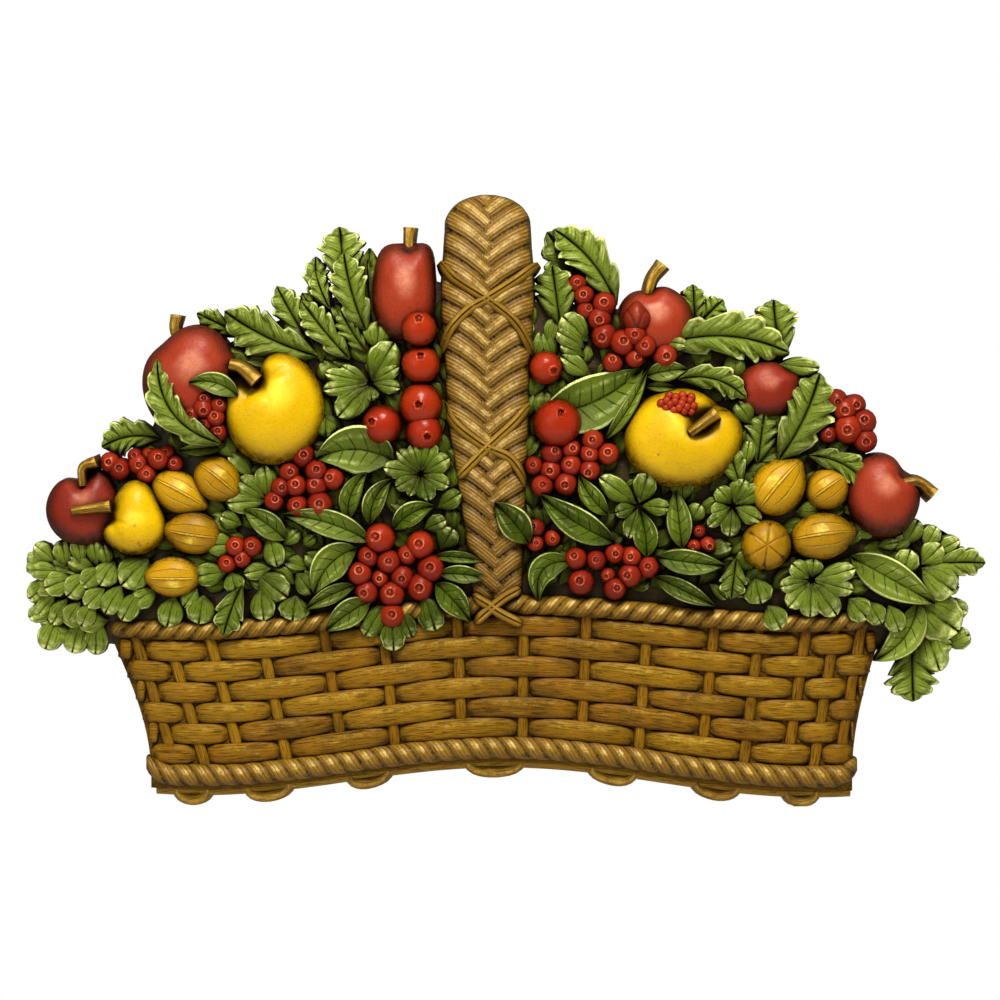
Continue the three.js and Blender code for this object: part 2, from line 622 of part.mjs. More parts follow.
// Loops of the foot binding that hang under the basket: left end, lowest point and right end.
const LOOPS = [
  [-197, -186, -176], [-155, -141, -127], [-94, -82, -68], [-24, -7, 12],
  [50, 65, 78], [112, 126, 140], [167, 176, 187],
];

function loop([left, low, right]) {
  const hung = (x, down) => [x, rowZ(ROW_COUNT + 0.75, x) - down];
  const curve = smooth([hung(left, 0), hung(low, LOOP_DROP), hung(right, 0)]);
  return along(curve, [0, 0.3, 0.7, 1], (t, x) => ({ half: 3, edge: basketRise(x) - 3 }));
}

// The handle: two ranks of slanting strands that meet in a chevron, as V-shaped stations by turns
// on the crown of a strand and in the groove under it.
function handle() {
  const count = 2 * Math.round((HANDLE_TOP - HANDLE_FOOT) / BRAID_PITCH);
  const shares = [[-1, 9], [-0.6, 1.5], [0, 2], [0.6, 1.5], [1, 9]];
  return loft(
    Array.from({ length: count + 1 }, (_, i) => {
      const z = HANDLE_TOP - (i * BRAID_PITCH) / 2;
      const half = handleHalf(z);
      const groove = i % 2 === 0 ? BRAID_GROOVE : 0;
      const point = (share, rise) => {
        const height = z - Math.min(i * 3, CHEVRON_DEPTH) * (1 - Math.abs(share));
        return at(handleMiddle(z) + share * (half - groove * 0.3), rise, height);
      };
      const front = shares.map(([share, drop]) => point(share, handleRise(z) - drop - groove));
      return [point(-1.04, -BURIED), ...front, point(1.04, -BURIED)];
    }),
  );
}

function cane(points) {
  return along(smooth(points), [0, 0.2, 0.5, 0.8, 1], (t, x, z) => {
    const off = Math.abs(x - handleMiddle(z)) / handleHalf(z);
    return { half: CANE_WIDTH / 2, edge: handleRise(z) + 4 - 9 * Math.max(0, off - 0.7) };
  });
}

// Thinning: the joins leave many vertices close together. Each one is drawn onto a neighbour as
// long as no face round it moves by more than `slack` or turns sharply, and the faces that close
// up are dropped. The flat back stays flat and the outermost points stay put.
function thinned(positions, triangles, slack) {
  const count = positions.length / 3;
  const faces = Array.from({ length: triangles.length / 3 }, (_, f) => {
    return triangles.slice(3 * f, 3 * f + 3);
  });
  const around = Array.from({ length: count }, () => new Set());
  faces.forEach((face, f) => face.forEach((v) => around[v].add(f)));
  const points = Array.from({ length: count }, (_, v) => new THREE.Vector3().fromArray(positions, 3 * v));
  const drift = new Float64Array(count);
  const box = new THREE.Box3().setFromPoints(points);
  const outermost = (p) => {
    return ["x", "z"].some((axis) => p[axis] === box.min[axis] || p[axis] === box.max[axis]);
  };
  const pinned = points.map(outermost);
  const onBack = points.map((p) => Math.abs(p.y) < 1e-5);
  const first = new THREE.Vector3();
  const second = new THREE.Vector3();
  const normalOf = (a, b, c) => {
    first.subVectors(b, a);
    second.subVectors(c, a);
    return new THREE.Vector3().crossVectors(first, second);
  };
  const neighbours = (v) => new Set([...around[v]].flatMap((f) => [...faces[f]]).filter((w) => w !== v));

  // How far the faces round `from` move when it is drawn onto `to`.
  function cost(from, to) {
    if (onBack[from] && !onBack[to]) return Infinity;
    const step = new THREE.Vector3().subVectors(points[to], points[from]);
    let far = 0;
    for (const f of around[from]) {
      const face = faces[f];
      const normal = normalOf(...Array.from(face, (v) => points[v]));
      const area = normal.length();
      if (area > 1e-9) far = Math.max(far, Math.abs(normal.dot(step)) / area);
      if (face.includes(to)) continue;
      const turned = normalOf(...Array.from(face, (v) => points[v === from ? to : v]));
      const turnedArea = turned.length();
      if (turnedArea < 1e-3) return Infinity;
      if (area > 1e-3 && turned.dot(normal) < 0.5 * area * turnedArea) return Infinity;
      if (far + drift[from] > slack) return Infinity;
    }
    return far + drift[from];
  }

  for (let pass = 0; pass < 40; pass += 1) {
    const moves = [];
    points.forEach((_, from) => {
      if (!around[from].size || pinned[from]) return;
      let best = { price: Infinity };
      for (const to of neighbours(from)) {
        const price = cost(from, to);
        if (price < best.price) best = { from, to, price };
      }
      if (best.price <= slack) moves.push(best);
    });
    moves.sort((a, b) => a.price - b.price);
    const touched = new Set();
    let done = 0;
    for (const { from, to, price } of moves) {
      if (touched.has(from) || touched.has(to)) continue;
      const near = neighbours(from);
      const shared = [...neighbours(to)].filter((v) => near.has(v));
      if (shared.length !== 2) continue;
      for (const f of [...around[from]]) {
        const face = faces[f];
        if (face.includes(to)) {
          face.forEach((v) => around[v].delete(f));
          faces[f] = null;
        } else {
          face[face.indexOf(from)] = to;
          around[to].add(f);
        }
      }
      around[from].clear();
      drift[to] = Math.max(drift[to], price);
      near.forEach((v) => touched.add(v));
      touched.add(from).add(to);
      done += 1;
    }
    if (!done) break;
  }
  return faces.filter(Boolean).flatMap((face) => [...face]);
}

const forms = [
  heap(),
  ...LEAVES.map(leaf),
  ...ROSETTES.map(rosette),
  ...FRUIT.map(fruit),
  ...NUTS.map(nut),
  ...CHERRIES.map(cherry),
  ...BERRIES.map(berry),
  ...STEMS.map(stem),
  basketBody(),
  rope(-1, -234, 216, 1),
  rope(ROW_COUNT, -213, 209, -1),
  ...LOOPS.map(loop),
  handle(),
  ...CANES.map(cane),
];

// Everything behind the wall plane is cut off flat.
const slab = new THREE.BoxGeometry(2 * WIDTH, 4 * BURIED, 2 * HEIGHT).translate(0, 2 * BURIED, 0);
const behind = closed(cornersOf(slab));
const joined = wasm.Manifold.union(forms).subtract(behind).getMesh();

const geometry = new THREE.BufferGeometry();
geometry.setAttribute("position", new THREE.BufferAttribute(joined.vertProperties, 3));
geometry.setIndex(thinned(joined.vertProperties, joined.triVerts, THINNING));
geometry.computeVertexNormals();

const paint = new THREE.MeshStandardMaterial({ color: 0x8a7a2c, roughness: 0.55, metalness: 0 });
const plaque = new THREE.Mesh(geometry, paint);
plaque.name = "plaque";

const group = new THREE.Group();
group.add(plaque);

export default group;
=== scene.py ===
"""Decorative wall plaque: a wicker basket of fruit in relief, dressed for rendering.

Lengths below are millimetres in the part's own frame: x to the right, z up, and `rise`, the distance
off the wall, along -Y. Every form is a closed solid whose walls run back, with a little draft,
through the wall plane. All of them are fused into one casting, and its back is cut flat on the wall.
"""

import json
from functools import partial, partialmethod

import bmesh
import bpy
import numpy as np
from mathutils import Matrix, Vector

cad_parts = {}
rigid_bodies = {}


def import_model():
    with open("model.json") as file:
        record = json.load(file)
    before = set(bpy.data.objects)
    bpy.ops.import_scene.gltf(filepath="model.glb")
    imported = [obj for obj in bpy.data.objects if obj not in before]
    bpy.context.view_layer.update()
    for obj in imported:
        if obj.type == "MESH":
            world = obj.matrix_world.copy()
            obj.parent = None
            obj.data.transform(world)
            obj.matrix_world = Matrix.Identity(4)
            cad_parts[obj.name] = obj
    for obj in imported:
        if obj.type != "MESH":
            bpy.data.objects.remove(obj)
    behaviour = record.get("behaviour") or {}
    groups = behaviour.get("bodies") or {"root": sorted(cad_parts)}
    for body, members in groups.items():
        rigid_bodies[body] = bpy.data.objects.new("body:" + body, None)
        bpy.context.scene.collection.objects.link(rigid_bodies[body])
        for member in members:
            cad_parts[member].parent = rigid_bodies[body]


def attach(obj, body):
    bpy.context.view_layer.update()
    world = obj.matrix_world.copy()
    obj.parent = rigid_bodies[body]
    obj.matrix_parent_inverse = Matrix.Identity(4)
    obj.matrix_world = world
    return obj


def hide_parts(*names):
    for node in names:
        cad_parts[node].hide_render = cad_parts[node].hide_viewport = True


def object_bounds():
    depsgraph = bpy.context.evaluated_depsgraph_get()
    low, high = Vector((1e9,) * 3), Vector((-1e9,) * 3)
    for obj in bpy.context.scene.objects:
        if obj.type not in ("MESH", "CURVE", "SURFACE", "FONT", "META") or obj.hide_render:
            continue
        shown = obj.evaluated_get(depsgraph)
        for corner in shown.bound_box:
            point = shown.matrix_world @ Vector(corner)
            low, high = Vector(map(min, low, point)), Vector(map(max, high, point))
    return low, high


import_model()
CAD_LOW, CAD_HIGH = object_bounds()

WIDTH = 573.718  # over the leaf tips at both ends
MM = (CAD_HIGH[0] - CAD_LOW[0]) / WIDTH
rng = np.random.default_rng(7)

# --- Driving sizes ---

BURIED = 3.0  # how far a form runs on behind the wall plane before the back is cut
DRAFT = 0.05  # outward slope of the side walls
EDGE_RISE, CROWN_RISE = 12.0, 36.0  # foliage off the wall, at the outline and in the middle
HEAP_Z, HEAP_HALF, HEAP_ABOVE, HEAP_BELOW = -20.0, 290.0, 185.0, 120.0
HEAP_SUNK = 5.0  # the ground of the heap under its leaves
UNDERLEAF_PITCH_X, UNDERLEAF_PITCH_Z = 14, 11
BERRY_FULLNESS = 1.14  # share of the listed radius

BASKET_EDGE_RISE, BASKET_CROWN_RISE, BASKET_HALF = 9.0, 32.0, 236.0
BASKET_SIDES = {-1: (236, 211), 1: (224, 207)}  # half widths at rim and foot, left and right
SIDE_Z, SIDE_DEPTH = -80, 82  # where the sides start to draw in, and how far on down
RIM_Z = -61.7
ROW_PITCH, ROW_COUNT, ROW_TILT = 12.1, 6, 0.013
ARCH_DROP, ARCH_HALF = 16.6, 185.0
STAKES = [-221, -201, -176, -145, -107, -72, -28, 11, 48, 84, 124, 151, 179, 196, 212]
STAKE_LEAN_LEFT, STAKE_LEAN_RIGHT = 0.00145, 0.0008  # they close up towards the foot
STAKE_WIDTH, STAKE_GAP = 6.5, 0.2
STRIP_WIDTH = 12.0
STRAND_PITCH, STRAND_LEAN = 10.8, 13.0
# A rope: its row, left and right end, slant of the strands, width and how far its ends turn up.
RIM_ROPE = (-1, -238, 218, 1, 12, 0)
FOOT_ROPE = (ROW_COUNT, -214, 210, -1, 13.5, 6)
ROD_LEFT, ROD_RIGHT, ROD_HALF, ROD_ROW = -208, 206, 3.6, ROW_COUNT + 0.7
LOOP_DROP, LOOP_HALF = 5.8, 3.5

HANDLE_X, HANDLE_TOP, HANDLE_FOOT = -10.4, 183.0, -62.0
HANDLE_LEAN, HANDLE_BEND = 0.052, 60.0  # it leans to the right below the bend
HANDLE_WAIST, HANDLE_SPREAD = 15.5, 9.5  # half width at the foot, and what it gains higher up
BRAID_PITCH, BRAID_SWING = 14.4, 3.6
WALL_LIT, WALL_SHADE = -0.8, 0.65  # painted shade on the side walls of every form: their lit, and how dark surfaces turned from the front are made

# --- Layout of the heap ---

# A leaf: base x, base z, tip x, tip z, width and lift off the heap. A bay leaf also has its bow to the
# left, and an oak leaf its bow and its lobes a side. A leaf with neither is a petal.
LEAVES = [
    # sprays above the fruit on the left
    (-95, 128, -99, 164, 24, -1, 0, 3), (-82, 100, -96, 148, 20, 6, 2, 4),
    (-78, 98, -82, 144, 12, 1, 1, 3), (-104, 114, -113, 137, 11, 3, 1, 2),
    (-107, 114, -113, 146, 13, -2, 2, 3), (-84, 128, -81, 151, 11, -1, -1),
    (-114, 92, -136, 128, 16, 1, 1, 3), (-110, 106, -121, 124, 10, -1, 0, 2),
    (-92, 84, -121, 119, 16, 5, 1, 4), (-82, 88, -98, 114, 13, 3, 1, 4),
    (-111, 86, -167, 113, 24, 4, 3, 4), (-156, 99, -184, 112, 12, -2, 0, 3), (-76, 90, -75, 107, 15, 4),
    # leaves round the left apple
    (-168, 34, -206, 84, 17, 17, 12, 4), (-158, 62, -187, 70, 12, 19, -4), (-166, 33, -194, 30, 9, 3, 0),
    (-205, 37, -240, 32, 19, 1, -4, 4), (-66, 24, -112, 25, 27, 5, -6), (-107, 55, -120, 56, 9, 5),
    (-107, 50, -106, 38, 11, 4),
    # bay leaves at the foot of the left side
    (-93, -12, -82, 17, 12, 4, 4), (-80, -14, -67, 13, 12, 5, 4), (-66, -17, -42, -3, 13, 5, 3),
    (-130, -23, -155, -5, 14, 5, -1), (-80, -24, -131, -8, 15, 6, -3), (-88, -28, -113, -55, 19, 6, -5),
    (-89, -50, -118, -64, 10, 7, -1), (-80, -59, -106, -77, 15, 8, -1), (-72, -62, -83, -80, 12, 7),
    (-67, -68, -66, -89, 13, 7), (-62, -64, -55, -81, 9, 6), (-48, -56, -41, -77, 14, 6),
    (-41, -49, -21, -71, 15, 8, 1), (-39, -43, -10, -46, 10, 7, 1), (-42, -33, -12, -36, 7, 5, 1),
    (-40, -4, -26, 5, 10, 4), (-48, -17, -35, -11, 10, 4), (-38, -29, -31, -16, 12, 4),
    (-132, -26, -122, -17, 8, 2), (-120, -27, -112, -20, 7, 2),
    # scalloped leaves between the nuts and the berries
    (-140, 2, -143, 21, 12, 4), (-142, 2, -159, 13, 12, 4), (-142, 0, -165, -1, 12, 4),
    (-156, -14, -169, -9, 10, 3), (-160, -26, -177, -26, 12, 4), (-165, -42, -185, -45, 12, 4),
    (-163, -42, -159, -54, 11, 4), (-139, -40, -155, -43, 9, 4), (-140, -20, -135, -39, 11, 4),
    (-147, -44, -129, -57, 15, 5), (-124, -43, -113, -55, 11, 5), (-156, -50, -167, -80, 16, 6, -1, 2),
    (-183, -52, -191, -63, 10, 4), (-179, -56, -182, -73, 15, 5), (-145, -52, -143, -71, 13, 5),
    (-124, -56, -126, -71, 16, 6), (-207, -52, -222, -61, 12, 5), (-196, -56, -201, -75, 13, 5),
    # fern at the left end
    (-262, -39, -264, -23, 11, 1), (-252, -38, -255, -20, 9, 2), (-243, -39, -245, -22, 9, 2),
    (-236, -40, -239, -26, 8, 3), (-268, -36, -281, -26, 9, 0), (-266, -42, -284, -41, 10, 1),
    (-258, -46, -275, -52, 13, 3), (-248, -44, -261, -57, 13, 4), (-240, -40, -252, -51, 11, 5),
    (-232, -36, -241, -50, 13, 5), (-212, -34, -228, -50, 17, 6), (-272, -49, -285, -59, 12, 0),
    (-238, -52, -250, -63, 11, 5), (-228, -50, -238, -67, 11, 6), (-218, -54, -228, -71, 11, 6),
    (-268, -55, -280, -69, 9, 1), (-261, -58, -271, -74, 10, 2), (-253, -60, -262, -73, 10, 3),
    (-245, -60, -253, -75, 10, 4), (-268, -70, -275, -89, 13, 0), (-254, -72, -259, -91, 13, 0),
    (-243, -70, -245, -92, 12, 0),
    # sprays right of the handle
    (33, 104, 28, 140, 23, 1, 0, 3), (49, 95, 34, 110, 14, 5), (47, 91, 31, 101, 11, 4),
    (47, 86, 33, 93, 9, 3), (51, 74, 33, 86, 10, 4), (58, 116, 25, 161, 25, -9, -1, 3),
    (66, 117, 29, 162, 23, 3, -5, 4), (20, 50, 82, 79, 30, 3, -6), (60, 37, 84, 77, 8, 8, -2),
    (113, 104, 112, 129, 14, -1, 0, 3), (116, 106, 130, 120, 14, -1, 0, 3),
    (92, 92, 169, 88, 25, 5, 8, 4), (89, 95, 108, 93, 8, 7), (165, 84, 160, 120, 25, 1, 1, 4),
    (163, 81, 187, 79, 9, 6), (84, 74, 108, 78, 12, 7, 1), (84, 68, 101, 67, 6, 6, 0),
    (102, 72, 143, 61, 15, 8, 6, 3), (162, 24, 187, 76, 28, 5, -3, 4), (150, 22, 154, 53, 18, 1, 0, 3),
    (146, 46, 138, 59, 11, 4), (140, 8, 132, 32, 14, 5, 0, 2), (142, 20, 145, 36, 8, 4),
    (180, 27, 219, 4, 15, 6, 6, 4), (105, 0, 105, 15, 12, 4), (105, -28, 101, 6, 14, 5, 0),
    (110, -12, 116, -2, 10, 4),
    # bay leaves at the foot of the right side
    (14, -25, -6, -1, 17, 10, -1), (65, -24, 21, 4, 17, 7, 3), (61, -8, 44, 15, 12, 6, 2),
    (84, -33, 80, -6, 14, 6, -1), (40, -36, 20, -59, 15, 6, -10), (90, -33, 130, -38, 14, 8, -1),
    (89, -45, 124, -62, 11, 8, 0), (121, -49, 132, -58, 6, 4), (137, -34, 134, -58, 15, 6, 0, 2),
    (148, -46, 152, -61, 15, 5), (156, -62, 164, -76, 13, 6),
    # spray at the right end
    (205, -33, 256, -61, 21, 5, 0), (222, -27, 234, -24, 7, 2), (238, -26, 246, -11, 11, 1),
    (250, -28, 257, -15, 10, 1), (256, -31, 271, -23, 9, 1), (236, -44, 241, -29, 13, 5),
    (248, -38, 260, -26, 13, 3), (254, -38, 287, -37, 15, 2, 1, 2), (248, -40, 268, -54, 21, 4),
    (204, -58, 216, -70, 13, 6), (216, -60, 224, -73, 11, 6), (228, -62, 235, -78, 11, 6),
    (246, -60, 221, -95, 18, 4, 6), (246, -60, 271, -78, 24, 3), (250, -72, 260, -102, 16, 1),
    (243, -84, 244, -120, 27, 0, 0, 3),
]

# A rosette: centre x, z and lift, then tip x, tip z and width of each petal.
ROSETTES = [
    [(-80, 70, 6),
     (-66, 94, 19), (-63, 80, 10), (-62, 67, 9), (-79, 59, 9), (-87, 51, 8),
     (-99, 50, 17), (-108, 66, 10), (-107, 76, 9), (-97, 80, 7)],
    [(-50, 16, 6),
     (-43, 35, 12), (-55, 34, 9), (-64, 30, 10), (-72, 20, 11), (-65, 8, 10),
     (-57, 3, 8), (-45, 0, 12), (-33, 9, 10), (-33, 26, 12)],
    [(79, -3, 7),
     (56, 14, 13), (85, 17, 14), (98, -4, 10), (73, -22, 11), (65, -7, 9)],
    [(135, -3, 6),
     (142, 13, 13), (154, 9, 11), (126, 8, 11), (122, -8, 11), (120, -15, 8),
     (133, -21, 12), (152, -12, 11)],
    [(182, -47, 7),
     (170, -37, 12), (183, -34, 12), (163, -51, 10), (168, -63, 13),
     (181, -69, 14), (197, -68, 15), (207, -53, 11), (208, -40, 12)],
]

# Domed fruit: x, z, half width, half height, rise and lift; then its swellings and pinches, each an
# angle, a share of the radius and a spread in radians; then the stem hollow's x, z, depth and size;
# then the folds that run out of the hollow, each an angle and a length.
APPLES = [
    (-187, 71, 29, 33, 19, 0, [(128, -0.10, 0.4), (65, 0.05, 0.4)], -192, 97, 0, 7),
    (225, 3, 22, 25, 17, 1, [(50, -0.16, 0.35), (130, 0.06, 0.5)], 237, 16, 4, 6),
    (-60, 122, 19, 31, 17, 2, [(50, 0.22, 0.34), (130, 0.14, 0.4), (270, -0.12, 0.5)], -57, 150, 2, 7),
    (89, 106, 22, 23, 15, -1, [(100, -0.12, 0.35), (20, 0.06, 0.4)], 86, 126, 4, 6),
    (156, 66, 19, 17, 12, -1, [(30, 0.14, 0.3)], 170, 79, 2, 5),
    (-251, -5, 22.5, 22, 14, 0, [(103, -0.16, 0.25), (60, 0.14, 0.35)], -252, 13, 5, 6),
]
PEARS = [
    (-137, 54, 30, 33, 20, 2, [(120, -0.30, 0.28), (70, 0.05, 0.4), (165, 0.04, 0.3)], -149, 71, 9, 8,
     [(20, 24), (245, 20)]),
    (105, 37, 35, 30, 20, 1, [(50, -0.08, 0.35), (15, 0.05, 0.4)], 115, 46, 10, 8,
     [(150, 22)]),
    (-220, -15, 18.5, 17, 15, 4, [(88, 0.62, 0.55), (163, -0.26, 0.28), (205, 0.06, 0.3)], -234, -7, 5, 6,
     [(50, 16), (290, 14)]),
]
# Nuts: x, z, half length, half width, angle of the pointed end in degrees and lift.
NUTS = [
    (-194, 5, 17, 12.5, -28, 1), (-171, 13, 14.5, 13, -38, 2), (-185, -19, 16.5, 12.5, 172, 2),
    (-197, -45, 16, 12, 180, 3), (162, 8, 18.5, 15.5, 50, 1), (191.5, 7, 13.5, 12.5, 35, 1),
    (155, -26, 15, 15, 0, 2), (188, -21, 18.5, 14, 8, 3),
]
# Cherries: x, z, radius, where the calyx sits and, if it isn't 1, the lift.
CHERRIES = [
    (-51, 102, 10.5, -51, 108, 10), (-50, 81, 11.5, -50, 86, 3), (-50, 57, 13, -51, 57),
    (-73, 45, 12, -79, 47), (-48, 41, 11, -46, 38), (24, 79, 10, 29, 77), (31, 46, 14.5, 33, 52),
]
# Berries: x, z, radius and, if it isn't 2, the lift.
BERRIES = [
    (-178, 60, 5, 12), (-179, 55, 5.5, 12), (-170, 57, 5, 11), (-186, 51, 5, 11), (-172, 50, 5.5, 9),
    (-185, 45, 5, 8), (-178, 46, 5, 8), (-171, 41, 5.5, 6), (43, 129, 5), (47, 122, 5.5), (59, 117, 6.5),
    (48, 113, 5), (56, 108, 6.5), (59, 98, 7), (70, 94, 7, 5), (77, 99, 6, 9), (83, 92, 6, 8),
    (64, 82, 5.5), (77, 85, 5.5, 4), (95, 86, 6.5, 5), (197, 60, 6), (208, 57, 6), (202, 54, 7),
    (213, 47, 7), (204, 43, 8), (214, 36, 6.5), (192, 40, 5), (28, 28, 6), (39, 31, 5.5), (52, 36, 6),
    (50, 28, 5.5), (61, 28, 6), (17, 21, 5), (27, 18, 6), (39, 21, 6), (50, 18, 6), (22, 9, 6),
    (36, 10, 6.5), (18, -16, 5), (18, -25, 4.5), (28, -22, 4.5), (42, -34, 6), (54, -35, 5.5),
    (65, -31, 5.5), (75, -33, 5.5), (85, -39, 6), (61, -44, 4), (74, -44, 6.5), (45, -48, 7),
    (65, -52, 6), (-235, 23, 5.5), (-229, 19, 6), (-220, 27, 4), (-218, 22, 5.5), (-212, 28, 3.5),
    (-206, 25, 6), (-213, 16, 5.5), (-201, 29, 4), (-196, 22, 4.5), (-120, 27, 6.5), (-128, 17, 5.5),
    (-112, 18, 6), (-102, 13, 6), (-133, 8, 5.5), (-124, 9, 6), (-112, 9, 6), (-137, 0, 5.5),
    (-123, -3, 6), (-110, -2, 7), (-160, -27, 5.5), (-150, -27, 5.5), (-156, -34, 5), (-165, -37, 5),
    (-74, -22, 8), (-50, -26, 7.5), (-81, -33, 6), (-69, -36, 6.5), (-58, -32, 5.5), (-44, -40, 7.5),
    (-86, -43, 6.5), (-74, -46, 5), (-61, -45, 6.5), (-50, -51, 7.5), (-82, -54, 6.5), (-67, -55, 7),
    (-67, -68, 7), (115, -18, 3.5), (120, -26, 4.5), (112, -27, 4),
]
# Stems: width, lift over the heap, then the points along them.
STEMS = [
    (7, 0, [(-192, 90), (-197, 102), (-196, 111)]), (7.5, 22, [(-163, 81), (-156, 79), (-147, 71)]),
    (6.5, 11, [(-57, 146), (-57, 155), (-56.5, 163)]), (7, 7, [(85, 123), (88, 133), (94, 141)]),
    (7, 11, [(231, 9), (245, 11.5), (255, 4)]), (6.5, 22, [(109, 40), (117, 46), (125, 52)]),
    (5.5, 12, [(-251, 9), (-251, 20), (-243, 23.5)]), (6, 17, [(-257, -6), (-246, -4.5), (-234, -3)]),
]
# Canes wrapped over the handle.
CANES = [
    [(-39, 87), (-33, 101), (-22, 113), (-9, 121), (8, 132), (20, 141)],
    [(-39, 142), (-30, 132), (-10, 119), (5, 107), (13, 95), (17, 86)],
    [(-37, 59), (-31, 47), (-13, 33), (2, 26), (10, 16), (14, 8)],
    [(-28, 14), (-20, 22), (-8, 34), (5, 46), (16, 58)],
    [(9, -52), (0, -57), (-9, -64), (-18, -72)],
    [(-20, -56), (-11, -61), (-2, -67), (10, -73)],
]
# Loops of the foot binding: left end, lowest point, right end.
LOOPS = [(-197, -186, -176), (-155, -141, -127), (-94, -82, -68), (-24, -7, 12),
         (50, 65, 78), (112, 126, 140), (167, 176, 187)]
# The pointed bud: x, z, half width, half height and rise.
BUD = (78, 108, 8.5, 8, 9)
# The oval cluster of drupelets, and how many lie in it.
CLUSTER_X, CLUSTER_Z, CLUSTER_HALF_X, CLUSTER_HALF_Z = 102.5, 57.5, 10.5, 6.5
DRUPELETS, DRUPELET_HALF = 19, 2.8
# The heap under the leaves: at each x, its lowest and highest z.
HEAP_X, HEAP_LOW, HEAP_HIGH = np.array([
    (-270, -78, -36), (-250, -84, 2), (-228, -86, 18), (-213, -88, 36), (-198, -88, 76), (-165, -88, 94),
    (-112, -88, 118), (-60, -88, 136), (0, -88, 120), (60, -88, 116), (125, -88, 100),
    (158, -88, 92), (184, -88, 66), (205, -88, 44), (225, -88, 12), (240, -96, -16), (262, -88, -40),
], float).T


# --- Heights off the wall ---

def arc(value):
    """Square root that stops at zero."""
    return np.sqrt(np.maximum(0.0, value))


def bump(value, middle, width):
    """1 at the middle, fading to 0 about one width away."""
    return np.exp(-(((value - middle) / width) ** 2))


def heap_rise(x, z):
    reach = np.where(np.asarray(z) < HEAP_Z, HEAP_BELOW, HEAP_ABOVE)
    inside = 1 - (np.asarray(x) / HEAP_HALF) ** 2 - ((z - HEAP_Z) / reach) ** 2
    return EDGE_RISE + (CROWN_RISE - EDGE_RISE) * arc(inside)


def basket_rise(x):
    return BASKET_EDGE_RISE + (BASKET_CROWN_RISE - BASKET_EDGE_RISE) * arc(1 - (x / BASKET_HALF) ** 2)


def handle_rise(z):
    above = np.maximum(0, z - (HANDLE_TOP - 46)) / 46
    return 13 + 26 * arc(1 - above**2)


def handle_middle(z):
    return HANDLE_X + HANDLE_LEAN * np.maximum(0, HANDLE_BEND - z)


def handle_half(z):
    above = np.maximum(0, z - (HANDLE_TOP - 17)) / 17
    up = np.clip((z - HANDLE_FOOT) / 130, 0, 1)
    waist = HANDLE_WAIST + HANDLE_SPREAD * up**2 * (3 - 2 * up) + 3 * bump(z, 118, 30)
    return 1 + (waist - 1) * arc(1 - above**2)


def row_z(row, x):
    """Middle of weaving row `row`: -1 is the rim rope, ROW_COUNT the foot rope."""
    level = 1 - (row + 1) / ROW_COUNT
    arch = ARCH_DROP * (1 - np.cos(np.pi * x / ARCH_HALF)) / 2
    return RIM_Z - ROW_PITCH * (row + 1) - arch * (1 - 0.22 * level) + ROW_TILT * x * level


def basket_side(z, side):
    rim, foot = BASKET_SIDES[side]
    depth = np.clip((SIDE_Z - z) / SIDE_DEPTH, 0, 1)
    return side * (rim + (foot - rim) * np.sin(depth * np.pi / 2))


def stake_x(stake, z):
    lean = STAKE_LEAN_LEFT if STAKES[stake] < 0 else STAKE_LEAN_RIGHT
    return STAKES[stake] * (1 + lean * (z - SIDE_Z))


def turned_away(x):
    """From 0 in the middle of the basket to 1 where its side has turned from the front, for painted shade.
    """
    return (np.abs(x) / BASKET_HALF) ** 10


# --- Closed forms ---

forms = bpy.data.collections.new("forms")
LOW_CORNER, HIGH_CORNER = (np.array([corner[0], corner[2]]) for corner in (CAD_LOW, CAD_HIGH))
paints = {}


def solid_mesh(name, world, faces):
    """The mesh of a closed solid, and its faces, all turned outward."""
    a, b, c, d = (world[[face[i] for face in faces]] for i in (0, 1, 2, -1))
    volume = np.einsum("ij,ij->", a, np.cross(b, c)) + np.einsum("ij,ij->", a, np.cross(c, d))
    if volume < 0:
        faces = [face[::-1] for face in faces]
    mesh = bpy.data.meshes.new(name)
    mesh.from_pydata(world, [], faces)
    return mesh, faces


def shell_faces(rows, columns):
    """Faces of a solid between two grids of points, the second numbered after the first."""
    index = np.arange(rows * columns).reshape(rows, columns)
    top = np.stack([index[:-1, :-1], index[1:, :-1], index[1:, 1:], index[:-1, 1:]], -1).reshape(-1, 4)
    loop = np.concatenate([index[0], index[1:, -1], index[-1, -2::-1], index[-2:0:-1, 0]])
    step = rows * columns
    side = np.stack([loop, np.roll(loop, -1), np.roll(loop, -1) + step, loop + step], -1)
    return np.concatenate([top, top[:, ::-1] + step, side]).tolist()


